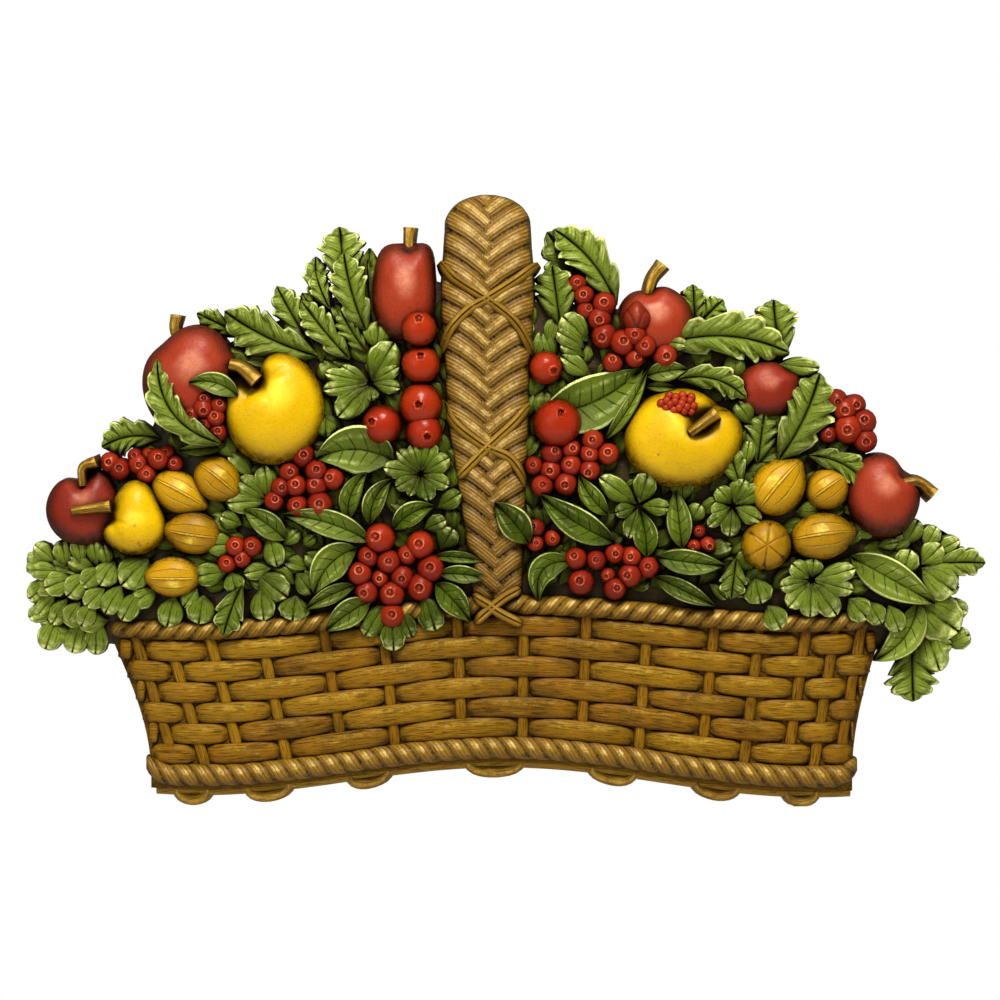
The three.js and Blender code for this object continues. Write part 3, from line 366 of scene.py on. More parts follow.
def add_form(points, faces, lit, grid, paint):
    """Adds one closed solid. points are x, rise, z. lit runs from 1, painted highlight and dry-brushing,
    to -1, painted shade and dark wash, grid carries the form's own coordinates for the painted and
    incised lines, and tone its tint, which on leaves grows paler towards the outline."""
    world = np.column_stack([points[:, 0], -points[:, 1], points[:, 2]]) * MM
    world[:, [0, 2]] = np.clip(world[:, [0, 2]], LOW_CORNER, HIGH_CORNER)
    mesh, faces = solid_mesh("form", world, faces)
    corners = np.concatenate(faces)
    tone = rng.random()
    if paint in BLADES:
        x, z = points[:, 0].mean(), points[:, 2].mean()
        tone = 0.3 * tone + 0.7 * np.clip(1.25 * np.hypot(x / HEAP_HALF, (z + 50) / 230) - 0.2, 0, 1)
    for key, kind, domain, channel, values in (
        ("lit", "FLOAT", "CORNER", "value", lit[corners]),
        ("grid", "FLOAT_VECTOR", "CORNER", "vector", grid[corners].ravel()),
        ("tone", "FLOAT", "FACE", "value", np.full(len(faces), tone)),
    ):
        data = mesh.attributes.new(key, kind, domain).data
        data.foreach_set(channel, values.astype(np.float32))
    mesh.materials.append(paints[paint])
    mesh.polygons.foreach_set("use_smooth", np.ones(len(faces), dtype=bool))
    forms.objects.link(bpy.data.objects.new("form", mesh))


def add_sheet(front, lit, grid, paint):
    """A solid under a grid of front points, with drafted walls down to behind the wall plane. front
    and grid are three coordinates each, for every point or for each row or column of them."""
    front, grid = (np.stack(np.broadcast_arrays(*parts), -1) for parts in (front, grid))
    rows, columns, _ = front.shape
    foot = front.copy()
    for edge, inner in ((0, 1), (-1, -2)):
        for cut, beside in (((slice(None), edge), (slice(None), inner)), ((edge,), (inner,))):
            out = front[cut][..., [0, 2]] - front[beside][..., [0, 2]]
            out /= np.maximum(1e-6, np.linalg.norm(out, axis=-1, keepdims=True))
            foot[cut][..., [0, 2]] += DRAFT * front[cut][..., 1:2] * out
    foot[..., 1] = -BURIED
    points = np.concatenate([front.reshape(-1, 3), foot.reshape(-1, 3)])
    # the side walls take WALL_LIT, painted shade
    lit = np.append(np.broadcast_to(lit, (rows, columns)), np.full(rows * columns, WALL_LIT))
    add_form(points, shell_faces(rows, columns), lit, np.tile(grid.reshape(-1, 3), (2, 1)), paint)


def add_dome(rings, apex, lit, apex_lit, grid, apex_grid, paint):
    """A solid under rings of points, the first one at the foot of the dome, closed by its apex."""
    count, sides, _ = rings.shape
    foot = rings[0] + DRAFT * (rings[0] - rings[0].mean(axis=0))
    foot[:, 1] = -BURIED
    points = np.concatenate([foot, rings.reshape(-1, 3), [apex]])
    index = np.arange((count + 1) * sides).reshape(count + 1, sides)
    around = np.roll(index, -1, axis=1)
    quads = np.stack([index[:-1], around[:-1], around[1:], index[1:]], -1).reshape(-1, 4).tolist()
    cap = [(a, b, (count + 1) * sides) for a, b in zip(index[-1].tolist(), around[-1].tolist())]
    # the side walls take WALL_LIT, painted shade
    lit = np.concatenate([np.full(sides, WALL_LIT), lit.ravel(), [apex_lit]])
    grid = np.concatenate([grid[0], grid.reshape(-1, 3), [apex_grid]])
    add_form(points, quads + cap + [index[0, ::-1].tolist()], lit, grid, paint)


def spline(points, count):
    """Points and unit tangents of a smooth curve through the given x, z points."""
    points = np.asarray(points, dtype=float)
    padded = np.vstack([2 * points[0] - points[1], points, 2 * points[-1] - points[-2]])
    s = np.linspace(0, len(points) - 1, count)
    k = np.minimum(s.astype(int), len(points) - 2)
    f = (s - k)[:, None]
    p0, p1, p2, p3 = (padded[k + i] for i in range(4))
    place = 0.5 * (2 * p1 + (p2 - p0) * f + (2 * p0 - 5 * p1 + 4 * p2 - p3) * f**2
                   + (3 * p1 - p0 - 3 * p2 + p3) * f**3)
    way = np.gradient(place, axis=0)
    return place, way / np.linalg.norm(way, axis=1, keepdims=True)


def add_band(points, count, across, half, rise, lit, paint):
    """A sheet along a curve. half(t) is its half width, rise(t, v, x, z) its height and lit(t, v) its
    painted highlight and shade, for t along it from 0 to 1 and v across it from -1 to 1."""
    place, way = spline(points, count)
    t, v = np.meshgrid(np.linspace(0, 1, count), across, indexing="ij")
    reach = half(t) * v
    x = place[:, :1] - way[:, 1:] * reach
    z = place[:, 1:] + way[:, :1] * reach
    length = np.linalg.norm(np.diff(place, axis=0), axis=1).sum()
    add_sheet((x, rise(t, v, x, z), z), lit(t, v), (t * length, reach, rng.uniform(0, 90)), paint)


# --- Leaves ---

# Points across half a leaf, from its midrib to its edge.
HALF_WIDE = np.array([0.0, 0.08, 0.25, 0.5, 0.74, 0.9, 1.0])
HALF_SLIM = np.array([0.0, 0.14, 0.5, 0.84, 1.0])
HALF_HIDDEN = np.array([0.0, 0.5, 0.88, 1.0])  # on a leaf that lies under others
LOBE_ROWS = np.array([0.03, 0.38, 0.72, 0.93])  # where along a lobe the rows of points lie
END_LOBE = 0.6  # length of the last lobe, when the others are 1


def bay_half(t, lobes):
    return np.sin(np.pi * t**0.85) ** 0.8


def bay_relief(t, v, lobes, width):
    """A smooth blade folded along its midrib, with a turned-up rim."""
    side = np.abs(v)
    relief = 0.15 * width * (side - 0.5) - 0.7 * bump(side, 0, 0.1) + 0.7 * bump(side, 0.88, 0.12)
    return relief - 1.2 * bump(side, 1.0, 0.07)


def oak_half(t, lobes):
    """Forward-pointing lobes: each swells slowly and ends in a sharp notch."""
    tooth = (t * (lobes + END_LOBE)) % 1
    swell = np.sin(np.pi * t**0.85) ** 0.7
    lobe = np.interp(tooth, [0, 0.3, 0.55, 0.8, 0.93, 1], [0, 0.45, 0.8, 1, 0.8, 0])
    return swell * (0.68 + 0.34 * lobe)


def oak_relief(t, v, lobes, width):
    """Each lobe is a ridge running out from the midrib, with a groove between it and the next."""
    side = np.abs(v)
    tooth = (t * (lobes + END_LOBE)) % 1
    ridge = np.interp(tooth, [0, 0.25, 0.6, 0.85, 1], [0, 0.65, 1, 0.75, 0])
    relief = 0.07 * width * np.sin(np.pi * side**0.7) - 1.3 * bump(side, 0, 0.1)
    return relief + 1.5 * (ridge - 0.6) * np.minimum(1, 2.2 * side) - 1.3 * side**8


def petal_half(t, lobes):
    """Rounded, with a small notch on each side where the end lobe starts."""
    opening = np.sin(np.pi / 2 * np.minimum(1, t / 0.6)) ** 0.8
    closing = arc(1 - (np.maximum(0, t - 0.6) / 0.405) ** 2)
    return opening * closing * (1 - 0.09 * bump(t, 0.74, 0.06))


def petal_fan(t, v, lobes):
    """A whole number on each line that runs out from the base of the leaf."""
    return petal_half(t, lobes) * v / (0.3 + 0.7 * t) * lobes


def petal_relief(t, v, lobes, width):
    """A puffed leaflet, dished along the middle, with grooves fanning out along it."""
    side = np.abs(v)
    flutes = -0.28 * np.cos(2 * np.pi * petal_fan(t, v, lobes)) * np.clip(1.6 * t, 0, 1) * (1 - side**4)
    puffed = 0.13 * width * (np.sin(np.pi * np.minimum(1, side**0.8)) - 0.4) * t
    return puffed + flutes * (1 - t**3) - 1.7 * side**5 - 1.8 * t**6


# Of each kind: its half width, its relief and how much wider than listed it is made.
BLADES = {"bay": (bay_half, bay_relief, 1.08), "oak": (oak_half, oak_relief, 1.22),
          "petal": (petal_half, petal_relief, 1.22)}


def add_leaf(base_x, base_z, tip_x, tip_z, width, lift, bow=None, lobes=None, hidden=False):
    kind = "oak" if lobes else "petal" if bow is None else "bay"
    half, relief, fullness = BLADES[kind]
    lobes = rng.uniform(1.0, 1.8) if kind == "petal" else lobes
    width = width * fullness
    base, tip = np.array([base_x, base_z], float), np.array([tip_x, tip_z], float)
    length = np.hypot(*(tip - base))
    way = (tip - base) / length
    control = (base + tip) / 2 + 2 * (bow or 0) * np.array([-way[1], way[0]])
    side = HALF_HIDDEN if hidden else HALF_WIDE if width > 15 else HALF_SLIM
    if kind == "oak":
        starts = np.arange(lobes + 1)[:, None] + LOBE_ROWS
        rows = np.append(starts.ravel() / (lobes + END_LOBE), 1)
        rows = rows[rows <= 1]
    else:
        rows = np.linspace(0, 1, 7 if hidden else int(np.clip(length / 1.9, 9, 16)))
    if kind == "petal":
        rows = np.sin(rows * np.pi / 2) ** 0.9
    t, v = np.meshgrid(rows, np.concatenate([-side[:0:-1], side]), indexing="ij")
    s = t[:, :1]
    axis = (1 - s) ** 2 * base + 2 * s * (1 - s) * control + s**2 * tip
    run = 2 * (1 - s) * (control - base) + 2 * s * (tip - control)
    run /= np.linalg.norm(run, axis=1, keepdims=True)
    reach = np.maximum(0.35, half(t, lobes) * width / 2) * v
    forward, marks = 0, t * (length / 9 + 1)
    if kind == "oak":
        forward = np.minimum(0.55 * width * np.minimum(1, 3 * t), 0.4 * length * (1 - t)) * np.abs(v) ** 1.2
        marks = t * (lobes + END_LOBE)
    elif kind == "petal":
        forward = -rng.uniform(0.02, 0.13) * length * bump(v, 0, 0.25) * t**8
        marks = petal_fan(t, v, lobes)
    x = axis[:, :1] - run[:, 1:] * reach + run[:, :1] * forward
    z = axis[:, 1:] + run[:, :1] * reach + run[:, 1:] * forward
    level = heap_rise(axis[:, :1], axis[:, 1:]) + lift - 3 * (1 - t) ** 3 - 1.5 * t**4
    tilt = rng.uniform(-0.07, 0.07) * width * v
    level = np.maximum(4, level + tilt + relief(t, v, lobes, width))
    # lit: painted shade towards the base of the leaf, where it dips under the others
    add_sheet((x, level, z), -0.9 * (1 - t) ** 3, (t, v, marks), kind)


def add_rosette(centre, *petals):
    x, z, lift = centre
    for tip_x, tip_z, width in petals:
        reach = np.hypot(tip_x - x, tip_z - z)
        start = np.array([x, z]) + np.array([tip_x - x, tip_z - z]) * 2 / reach
        add_leaf(*start, tip_x, tip_z, 0.88 * width, lift)


def add_underleaves():
    """Small leaves under the others, wherever the ground of the heap would show."""
    def on_heap(x, z):
        low = np.interp(x, HEAP_X, HEAP_LOW)
        if abs(x) < BASKET_HALF - 4:
            low = max(low, RIM_Z + 5)
        return low < z < np.interp(x, HEAP_X, HEAP_HIGH)

    def on_fruit(x, z):
        cores = ((x - f[0], 0.75 * f[2], z - f[1], 0.75 * f[3]) for f in APPLES + PEARS + NUTS)
        return any((aside / wide) ** 2 + (above / tall) ** 2 < 1 for aside, wide, above, tall in cores)

    for row, z in enumerate(np.arange(HEAP_LOW.min() + 12, HEAP_HIGH.max() + 4, UNDERLEAF_PITCH_Z)):
        shift = UNDERLEAF_PITCH_X / 2 * (row % 2)
        for x in np.arange(HEAP_X[0] + shift, HEAP_X[-1] + 3, UNDERLEAF_PITCH_X):
            base_x, base_z = x + rng.uniform(-2, 2), z + rng.uniform(-2, 2)
            angle = np.arctan2(z + 110, 1.2 * x) + rng.uniform(-0.6, 0.6)
            length = rng.uniform(15, 20)
            tip_x, tip_z = base_x + length * np.cos(angle), base_z + length * np.sin(angle)
            held = on_heap(base_x, base_z) and on_heap(tip_x, tip_z)
            behind_handle = max(abs(base_x - HANDLE_X), abs(tip_x - HANDLE_X)) < HANDLE_WAIST + 0.5
            if held and not on_fruit(x, z) and not behind_handle:
                width, lift = rng.uniform(10, 13), rng.uniform(-2, 1)
                add_leaf(base_x, base_z, tip_x, tip_z, width, lift, hidden=True)


# --- Fruit, nuts and berries ---

def smooth(px, pz, u, v):
    """No relief, and no painted highlight or shade."""
    return 0 * u, 0 * u


def add_round(x, z, half_x, half_z, rise, level, paint, sides, steps, turn=0.0, swells=(),
              relief=smooth, mark=None, edge=0.7):
    """A dome. relief(px, pz, u, v) gives (extra rise, lit) at a point, where u and v are in radii
    along and across the turned dome; mark is (x, z, scale) of the eye its lines are drawn round,
    and painted shade runs in from the rim as far as `edge`, a share of the radius."""
    turn = np.radians(turn)
    lean = np.linspace(0, np.pi / 2, steps, endpoint=False)
    k, a = np.meshgrid(np.cos(lean), np.linspace(0, 2 * np.pi, sides, endpoint=False), indexing="ij")
    r = k.copy()
    for angle, share, spread in swells:
        r = r + k * share * bump(np.angle(np.exp(1j * (a + turn - np.radians(angle)))), 0, spread)
    u, v = r * np.cos(a), r * np.sin(a)
    px = x + half_x * u * np.cos(turn) - half_z * v * np.sin(turn)
    pz = z + half_x * u * np.sin(turn) + half_z * v * np.cos(turn)
    extra, lit = relief(px, pz, u, v)
    centre = np.zeros(1)
    top, top_lit = relief(x + centre, z + centre, centre, centre)
    # painted shade, darkest at the rim of the dome
    lit = lit - 0.95 * np.clip((k - edge) / (1 - edge), 0, 1) ** 1.3
    seed = rng.uniform(0, 90)
    lines, top_lines = (u, v), (0, 0)
    if mark:
        eye_x, eye_z, scale = mark
        lines = (px - eye_x) / scale, (pz - eye_z) / scale
        top_lines = (x - eye_x) / scale, (z - eye_z) / scale
    rings = np.stack([px, level + rise * np.sqrt(1 - k**2) + extra, pz], -1)
    add_dome(rings, (x, level + rise + top[0], z), lit, top_lit[0],
             np.stack([*lines, 0 * k + seed], -1), (*top_lines, seed), paint)


def add_fruit(paint, x, z, half_x, half_z, rise, lift, swells, hole_x, hole_z, depth, size, folds=()):
    def turned(px, pz, way_x, way_z):
        """Distances from the stem hollow, along a direction and to the left of it."""
        aside, above = px - hole_x, pz - hole_z
        return aside * way_x + above * way_z, above * way_x - aside * way_z

    way = np.array([hole_x - x, hole_z - z]) / np.hypot(hole_x - x, hole_z - z)

    def relief(px, pz, u, v):
        gap = np.hypot(px - hole_x, pz - hole_z)
        along, aside = turned(px, pz, *way)
        crease = bump(aside, 0, 0.55 * size) * np.clip(along / size, 0, 1)
        dents = 0.25 * np.sin(px * 0.31) * np.cos(pz * 0.27)
        for angle, reach in folds:
            along, aside = turned(px, pz, np.cos(np.radians(angle)), np.sin(np.radians(angle)))
            crease = crease + 0.5 * bump(aside, 0, 2.2) * bump(along, 0.5 * reach, 0.5 * reach)
        shaded = min(1, depth / 3) * (1.1 * bump(gap, 0, 0.6 * size) + 0.8 * crease)
        # lit: a painted highlight on the upper part, painted shade on the lower side and in the stem hollow
        # and its folds
        lit = 0.5 * bump(np.hypot(u - 0.05, v - 0.3), 0, 0.5) - 0.45 * np.clip(-v - 0.15, 0, 1) - shaded
        return dents - depth * bump(gap, 0, size) - 0.6 * depth * crease, lit

    add_round(x, z, half_x, half_z, rise, heap_rise(x, z) + lift - 2, paint, 64, 16, 0, swells, relief,
              edge=0.5 if paint == "apple" else 0.72)


def add_nut(x, z, half_x, half_z, tip, lift):
    """A shell with a pointed end, or, where it is seen end on, with seams crossing at its tip."""
    def ridged(px, pz, u, v):
        ridge = bump(v, 0.1, 0.07) * np.clip(1.2 - u**2 - v**2, 0, 1)
        # a painted highlight on the upper part of the shell
        return 0.9 * ridge, 0.6 * bump(np.hypot(u, v - 0.35), 0, 0.4)

    def seamed(px, pz, u, v):
        lines = sum(bump(u * np.sin(a) - v * np.cos(a), 0, 0.035) for a in (0.55, 1.45, 2.5))
        seams = np.minimum(1, lines)
        # a painted highlight on the upper part, and the seams washed dark
        return -0.7 * seams, 0.5 * bump(np.hypot(u, v - 0.3), 0, 0.4) - 0.8 * seams

    paint, swells, relief = ("nut", [(tip, 0.16, 0.3)], ridged)
    if half_x == half_z:
        paint, swells, relief = ("nut_end", [], seamed)
    add_round(x, z, half_x, half_z, 0.85 * half_z, heap_rise(x, z) + lift - 2, paint, 48, 13, tip, swells,
              relief, edge=0.6)


def eye(r, at_x, at_z, scale):
    """The calyx of a berry: a small ring round a hollow with a point in it."""
    def relief(px, pz, u, v):
        gap = np.hypot(px - at_x, pz - at_z) / scale
        ring, hollow, point = bump(gap, 1.0, 0.4), bump(gap, 0.5, 0.35), bump(gap, 0, 0.3)
        return 0.08 * r * ring - 0.15 * r * hollow - 0.05 * r * point, 0 * gap
    return relief


def add_cherry(x, z, r, at_x, at_z, lift=1):
    mark = at_x, at_z, 2.1
    add_round(x, z, r, r, 0.95 * r, heap_rise(x, z) + lift, "cherry", 36, 12, relief=eye(r, *mark),
              mark=mark, edge=0.55)


def add_berry(x, z, r, lift=2):
    r = BERRY_FULLNESS * r
    mark = x + rng.normal(0, 0.14 * r), z + rng.normal(0.04 * r, 0.12 * r), 0.32 * r
    level = heap_rise(x, z) + lift - 1 + rng.uniform(-0.6, 0.6)
    add_round(x, z, r, r, r, level, "berry", 16, 7, relief=eye(r, *mark), mark=mark)


def add_stem(width, lift, points):
    def rise(t, v, x, z):
        level = heap_rise(x, z) + lift
        return level - width * 0.45 * (1 - arc(1 - v**2)) + 0.3 * np.cos(7 * v) - 2 * bump(t, 0, 0.1)

    # lit: a painted highlight along one side, and a lighter cut end
    add_band(points, 14, np.linspace(-1, 1, 9), lambda t: width / 2 * (0.82 + 0.3 * t**2), rise,
             lambda t, v: 0.6 * bump(v, 0.3, 0.4) + 0.5 * bump(t, 1, 0.1), "stem")


def add_drupelets():
    """The small red cluster lying on the right yellow fruit, beside its stem."""
    for i in range(DRUPELETS):
        reach = np.sqrt((i + 0.5) / DRUPELETS)
        x = CLUSTER_X + CLUSTER_HALF_X * reach * np.cos(2.4 * i)
        z = CLUSTER_Z + CLUSTER_HALF_Z * reach * np.sin(2.4 * i)
        level = heap_rise(x, z) + 15 - 3.0 * reach**2
        add_round(x, z, *3 * [DRUPELET_HALF], level, "drupelet", 10, 5)


def add_bud():
    """The pointed red bud above the berries on the right, wrapped in three scales."""
    def relief(px, pz, u, v):
        scales = np.minimum(bump(u - 0.35 * v, 0.3, 0.09) + bump(u + 0.45 * v, -0.35, 0.09), 1)
        # lit: a painted highlight down the middle, and painted shade where the scales overlap
        return -1.0 * scales, 0.35 * bump(u, 0, 0.5) - 0.9 * scales

    x, z, *sizes = BUD
    add_round(x, z, *sizes, heap_rise(x, z) + 9, "bud", 32, 10, 0, [(90, 0.35, 0.35)], relief)


def add_heap():
    """The ground of the foliage, painted dark as the shade between the leaves, lumpy like leaves half seen.
    """
    x = np.linspace(HEAP_X[0], HEAP_X[-1], 66)[:, None]
    low, high = np.interp(x, HEAP_X, HEAP_LOW), np.interp(x, HEAP_X, HEAP_HIGH)
    z = low + (high - low) * np.linspace(0, 1, 23)
    lumps = np.sin(x * 0.42 + 1.7 * np.sin(z * 0.23)) * np.cos(z * 0.47 + 1.3 * np.sin(x * 0.19))
    # lit: painted shade, deepest in the hollows between the lumps
    add_sheet((x, heap_rise(x, z) - HEAP_SUNK + 1.6 * lumps, z), -0.5 + 0.5 * lumps, (x, z, 0), "ground")


# --- The basket ---

def add_basket_body():
    """The ground behind the weaving, between the ropes, painted dark as shade and darker still on the
    basket's sides.
    """
    share = np.linspace(-1, 1, 60)[:, None]
    down = np.linspace(0, 1, 16)
    reach = np.abs(np.sin(share * np.pi / 2))
    z = RIM_Z + 0 * share * down
    for _ in range(2):
        x = reach * np.where(share < 0, basket_side(z, -1), basket_side(z, 1))
        rim, foot = row_z(-1, x), row_z(ROD_ROW, x)
        z = foot + (rim - foot) * down
    add_sheet((x, basket_rise(x) - 1.2, z), -0.5 - 0.5 * turned_away(x), (x, z, 0), "wicker")


def add_strip(row, before, after, middle):
    """A strip of the weave, from x `before` to `after`, over the stake at `middle`."""
    wide = 0.5 * (after - before)

    def rise(t, v, x, z):
        over = np.clip(1 - ((x - middle) / wide) ** 2, 0, 1) ** 0.8
        ends = np.clip(np.minimum(t, 1 - t) / 0.07, 0, 1)
        return basket_rise(x) - 0.8 + 1.4 * arc(1 - (1 - ends) ** 2) + 3.0 * over - 1.6 * np.abs(v) ** 5

    def lit(t, v):
        # painted highlight along the upper half, painted shade at the ends where the strip dives under the
        # stakes, along its edges and on the basket's sides
        shaded = 1.0 * np.abs(2 * t - 1) ** 5
        side = 0.7 * turned_away(before + t * (after - before))
        return 0.55 * bump(v, 0.5, 0.45) - shaded - 0.5 * np.abs(v) ** 8 - side

    line = [(x, float(row_z(row, x))) for x in np.linspace(before, after, 5)]
    across = np.array([-1, -0.92, -0.7, -0.25, 0.25, 0.7, 0.92, 1])
    count = int(np.clip((after - before) / 4, 6, 16))
    add_band(line, count, across, lambda t: STRIP_WIDTH / 2 * (1 - 0.16 * np.abs(2 * t - 1) ** 6), rise,
             lit, "wicker")


def add_stakes():
    for stake, middle in enumerate(STAKES):
        top, foot = (float(row_z(row, middle)) for row in (-1, ROW_COUNT))
        line = [(float(stake_x(stake, z)), z) for z in (foot, (foot + top) / 2, top)]
        # lit: painted shade on the stakes at the basket's sides
        add_band(line, 20, np.linspace(-1, 1, 7), lambda t: STAKE_WIDTH / 2,
                 lambda t, v, x, z: basket_rise(x) + 1.6 - 1.5 * v**4,
                 lambda t, v: -0.7 * turned_away(middle), "stake")


def add_weave():
    last = len(STAKES) - 1
    gap = STAKE_WIDTH / 2 + STAKE_GAP
    for row in range(ROW_COUNT):
        for stake, middle in enumerate(STAKES):
            z = float(row_z(row, middle))
            if (stake + row) % 2:
                before = stake_x(stake - 1, z) + gap if stake > 0 else basket_side(z, -1) + 1
                after = stake_x(stake + 1, z) - gap if stake < last else basket_side(z, 1) - 1
                add_strip(row, float(before), float(after), float(stake_x(stake, z)))
            elif stake in (0, last):
                side = -1 if stake == 0 else 1
                inner, outer = stake_x(stake, z) + side * gap, basket_side(z, side) - side
                low, high = sorted((float(inner), float(outer)))
                add_strip(row, low, high, (low + high) / 2)


def add_rope(row, left, right, slant, width, end_rise):
    """A laid rope: strands that cross it on a slant, with a groove between each and the next."""
    x = np.linspace(left, right, int((right - left) / 1.5))[:, None]
    v = np.array([-1, -0.97, -0.86, -0.66, -0.42, -0.14, 0.14, 0.42, 0.66, 0.86, 0.97, 1])
    turns = (x - slant * STRAND_LEAN * np.arcsin(v) / np.pi) / STRAND_PITCH
    strand = np.abs(np.sin(np.pi * turns)) ** 0.6
    to_end = np.minimum(x - left, right - x)
    ends = arc(np.clip(to_end / 5, 0, 1))
    turn_up = end_rise * np.clip(1 - to_end / 14, 0, 1) ** 1.6
    round_over = arc(1 - v**2)
    level = basket_rise(x) - 1 + (5.5 * round_over + 2.6 * strand * (0.35 + 0.65 * round_over)) * ends
    z = row_z(row, x) + turn_up + v * width / 2 * (0.94 + 0.06 * strand) * (0.5 + 0.5 * ends)
    # lit: a painted highlight on the upper part of each strand, painted shade in the grooves between
    # strands, along the lower edge and on the basket's sides
    lit = 0.65 * strand**3 * bump(v, 0.3, 0.6) - 1.1 * (1 - strand) ** 1.5 - 0.5 * bump(v, -1, 0.5)
    add_sheet((x, level, z), lit - 0.5 * turned_away(x), (turns, v, 0), "rope")


def add_base_rod():
    """The rod that the foot binding is looped round."""
    x = np.linspace(ROD_LEFT, ROD_RIGHT, 90)[:, None]
    v = np.array([-1, -0.6, -0.2, 0.2, 0.6, 1])
    level = basket_rise(x) - 4.5 + 3 * arc(1 - v**2)
    # lit: lighter towards the top, a painted highlight
    add_sheet((x, level, row_z(ROD_ROW, x) + ROD_HALF * v), 0.2 * v, (x, 3 * v, 0), "stem")


def add_loop(left, low, right):
    line = [(x, float(row_z(ROW_COUNT + 0.72, x)) - down) for x, down in (
        (left, -4), ((2 * left + low) / 3, 0.6 * LOOP_DROP), (low, LOOP_DROP),
        ((2 * right + low) / 3, 0.6 * LOOP_DROP), (right, -4))]
    # lit: a painted highlight along one side
    add_band(line, 16, np.linspace(-1, 1, 9), lambda t: LOOP_HALF - 1.0 * (2 * t - 1) ** 4,
             lambda t, v, x, z: basket_rise(x) - 1.4 - 2.6 * v**2,
             lambda t, v: 0.5 * bump(v, -0.3, 0.6), "stem")


# --- The handle ---

def add_braid():
    """The plaited handle: two ranks of strands that slant down to the middle and lock there."""
    z = np.linspace(HANDLE_FOOT - 9, HANDLE_TOP - 0.4, 170)[:, None]
    v = np.sin(np.linspace(-1, 1, 35) * np.pi / 2) * 0.6 + np.linspace(-1, 1, 35) * 0.4
    aside = (handle_half(z) - 0.6) * v
    swing = np.abs(((z / BRAID_PITCH) % 1) * 2 - 1) * 2 - 1
    lock = aside + BRAID_SWING * swing
    slope = np.where(lock > 0, 0.88, 0.98) * np.abs(aside) - 0.011 * aside**2
    turns = (z - slope) / BRAID_PITCH + np.where(lock > 0, 0.5, 0.0)
    strand = np.abs(np.sin(np.pi * turns)) ** 0.5
    near_lock = bump(lock, 0, 1.6)
    sunk = 11 * np.clip((-46 - z) / 24, 0, 1) ** 1.5
    round_over = arc(1 - np.abs(v) ** 3.5)
    level = handle_rise(z) - 9 + 9.5 * round_over + 3.2 * strand * (1 - 0.4 * near_lock) - sunk
    # lit: a painted highlight on each strand, painted shade in the gaps between strands, at the lock,
    # towards the foot and at the edges
    lit = 0.6 * strand**3 - 1.1 * (1 - strand) ** 1.2 - 0.35 * near_lock
    lit = lit - 0.5 * np.clip((20 - z) / 70, 0, 1) - 0.9 * np.abs(v) ** 6
    grid = (turns, np.where(lock > 0, 1, 0), aside)
    add_sheet((handle_middle(z) + aside, level, z), lit, grid, "straw")


def add_cane(*points):
    """A pair of thin canes side by side."""
    def rise(t, v, x, z):
        edge = np.maximum(0, np.abs(x - handle_middle(z)) / handle_half(z) - 0.75)
        return handle_rise(z) + 4.4 - 16 * edge - 90 * edge**2 - 1.2 * bump(v, 0, 0.15) - 1.8 * v**4

    across = np.array([-1, -0.8, -0.5, -0.2, 0, 0.2, 0.5, 0.8, 1])
    # lit: a painted highlight along one cane, painted shade in the groove between the two and at their
    # edges
    add_band(points, 40, across, lambda t: 2.9 - 1.5 * np.abs(2 * t - 1) ** 14, rise,
             lambda t, v: 0.5 * bump(v, 0.4, 0.3) - 0.55 * bump(v, 0, 0.14) - 0.6 * v**6, "cane")


# --- Paint ---

def add_node(tree, kind, inputs=(), **settings):
    """A shader node. inputs pairs its sockets, by name or number, with a constant or what feeds them."""
    node = tree.nodes.new("ShaderNode" + kind)
    for key, value in settings.items():
        setattr(node, key, value)
    for slot, value in dict(inputs).items():
        source = value.socket if isinstance(value, Field) else value
        if isinstance(source, bpy.types.NodeSocket):
            tree.links.new(source, node.inputs[slot])
        else:
            node.inputs[slot].default_value = source
    return node


class Field:
    """A value that changes over a surface, worked out by shader nodes and written as arithmetic."""

    def __init__(self, tree, socket):
        self.tree = tree
        self.socket = socket

    def feed(self, kind, *values, **settings):
        """The output of a new node whose inputs are this field and the given values, in order."""
        node = add_node(self.tree, kind, enumerate((self, *values)), **settings)
        return Field(self.tree, node.outputs[0])

    def apply(self, operation, *others):
        return self.feed("Math", *others, operation=operation)

    __add__ = partialmethod(apply, "ADD")
    __sub__ = partialmethod(apply, "SUBTRACT")
    __mul__ = partialmethod(apply, "MULTIPLY")
    __truediv__ = partialmethod(apply, "DIVIDE")
    __abs__ = partialmethod(apply, "ABSOLUTE")
    most = partialmethod(apply, "MAXIMUM")

    def ramp(self, low, high, to_low=0.0, to_high=1.0):
        return self.feed("MapRange", low, high, to_low, to_high, interpolation_type="SMOOTHSTEP")

    def line(self, width):
        """1 on each whole number, fading to 0 at `width` from it."""
        return abs((self + 0.5).apply("FRACT") - 0.5).ramp(0, width, 1, 0)

    def near(self, middle, width):
        """1 at `middle`, fading to 0 at `width` from it."""
        return abs(self - middle).ramp(0, width, 1, 0)


def add_noise(tree, vector, scale, detail):
    node = add_node(tree, "TexNoise", {"Vector": vector, "Scale": scale, "Detail": detail})
    return Field(tree, node.outputs["Fac"])


def grain(x, y, z):
    """Noise over three fields."""
    vector = add_node(x.tree, "CombineXYZ", enumerate((x, y, z))).outputs[0]
    return add_noise(x.tree, vector, 1.0, 4)


# Marks: what is made light, by dry-brushing or painted highlight, and what is made dark, by the wash in
# incised lines or painted shade, from the three fields of a form's grid.

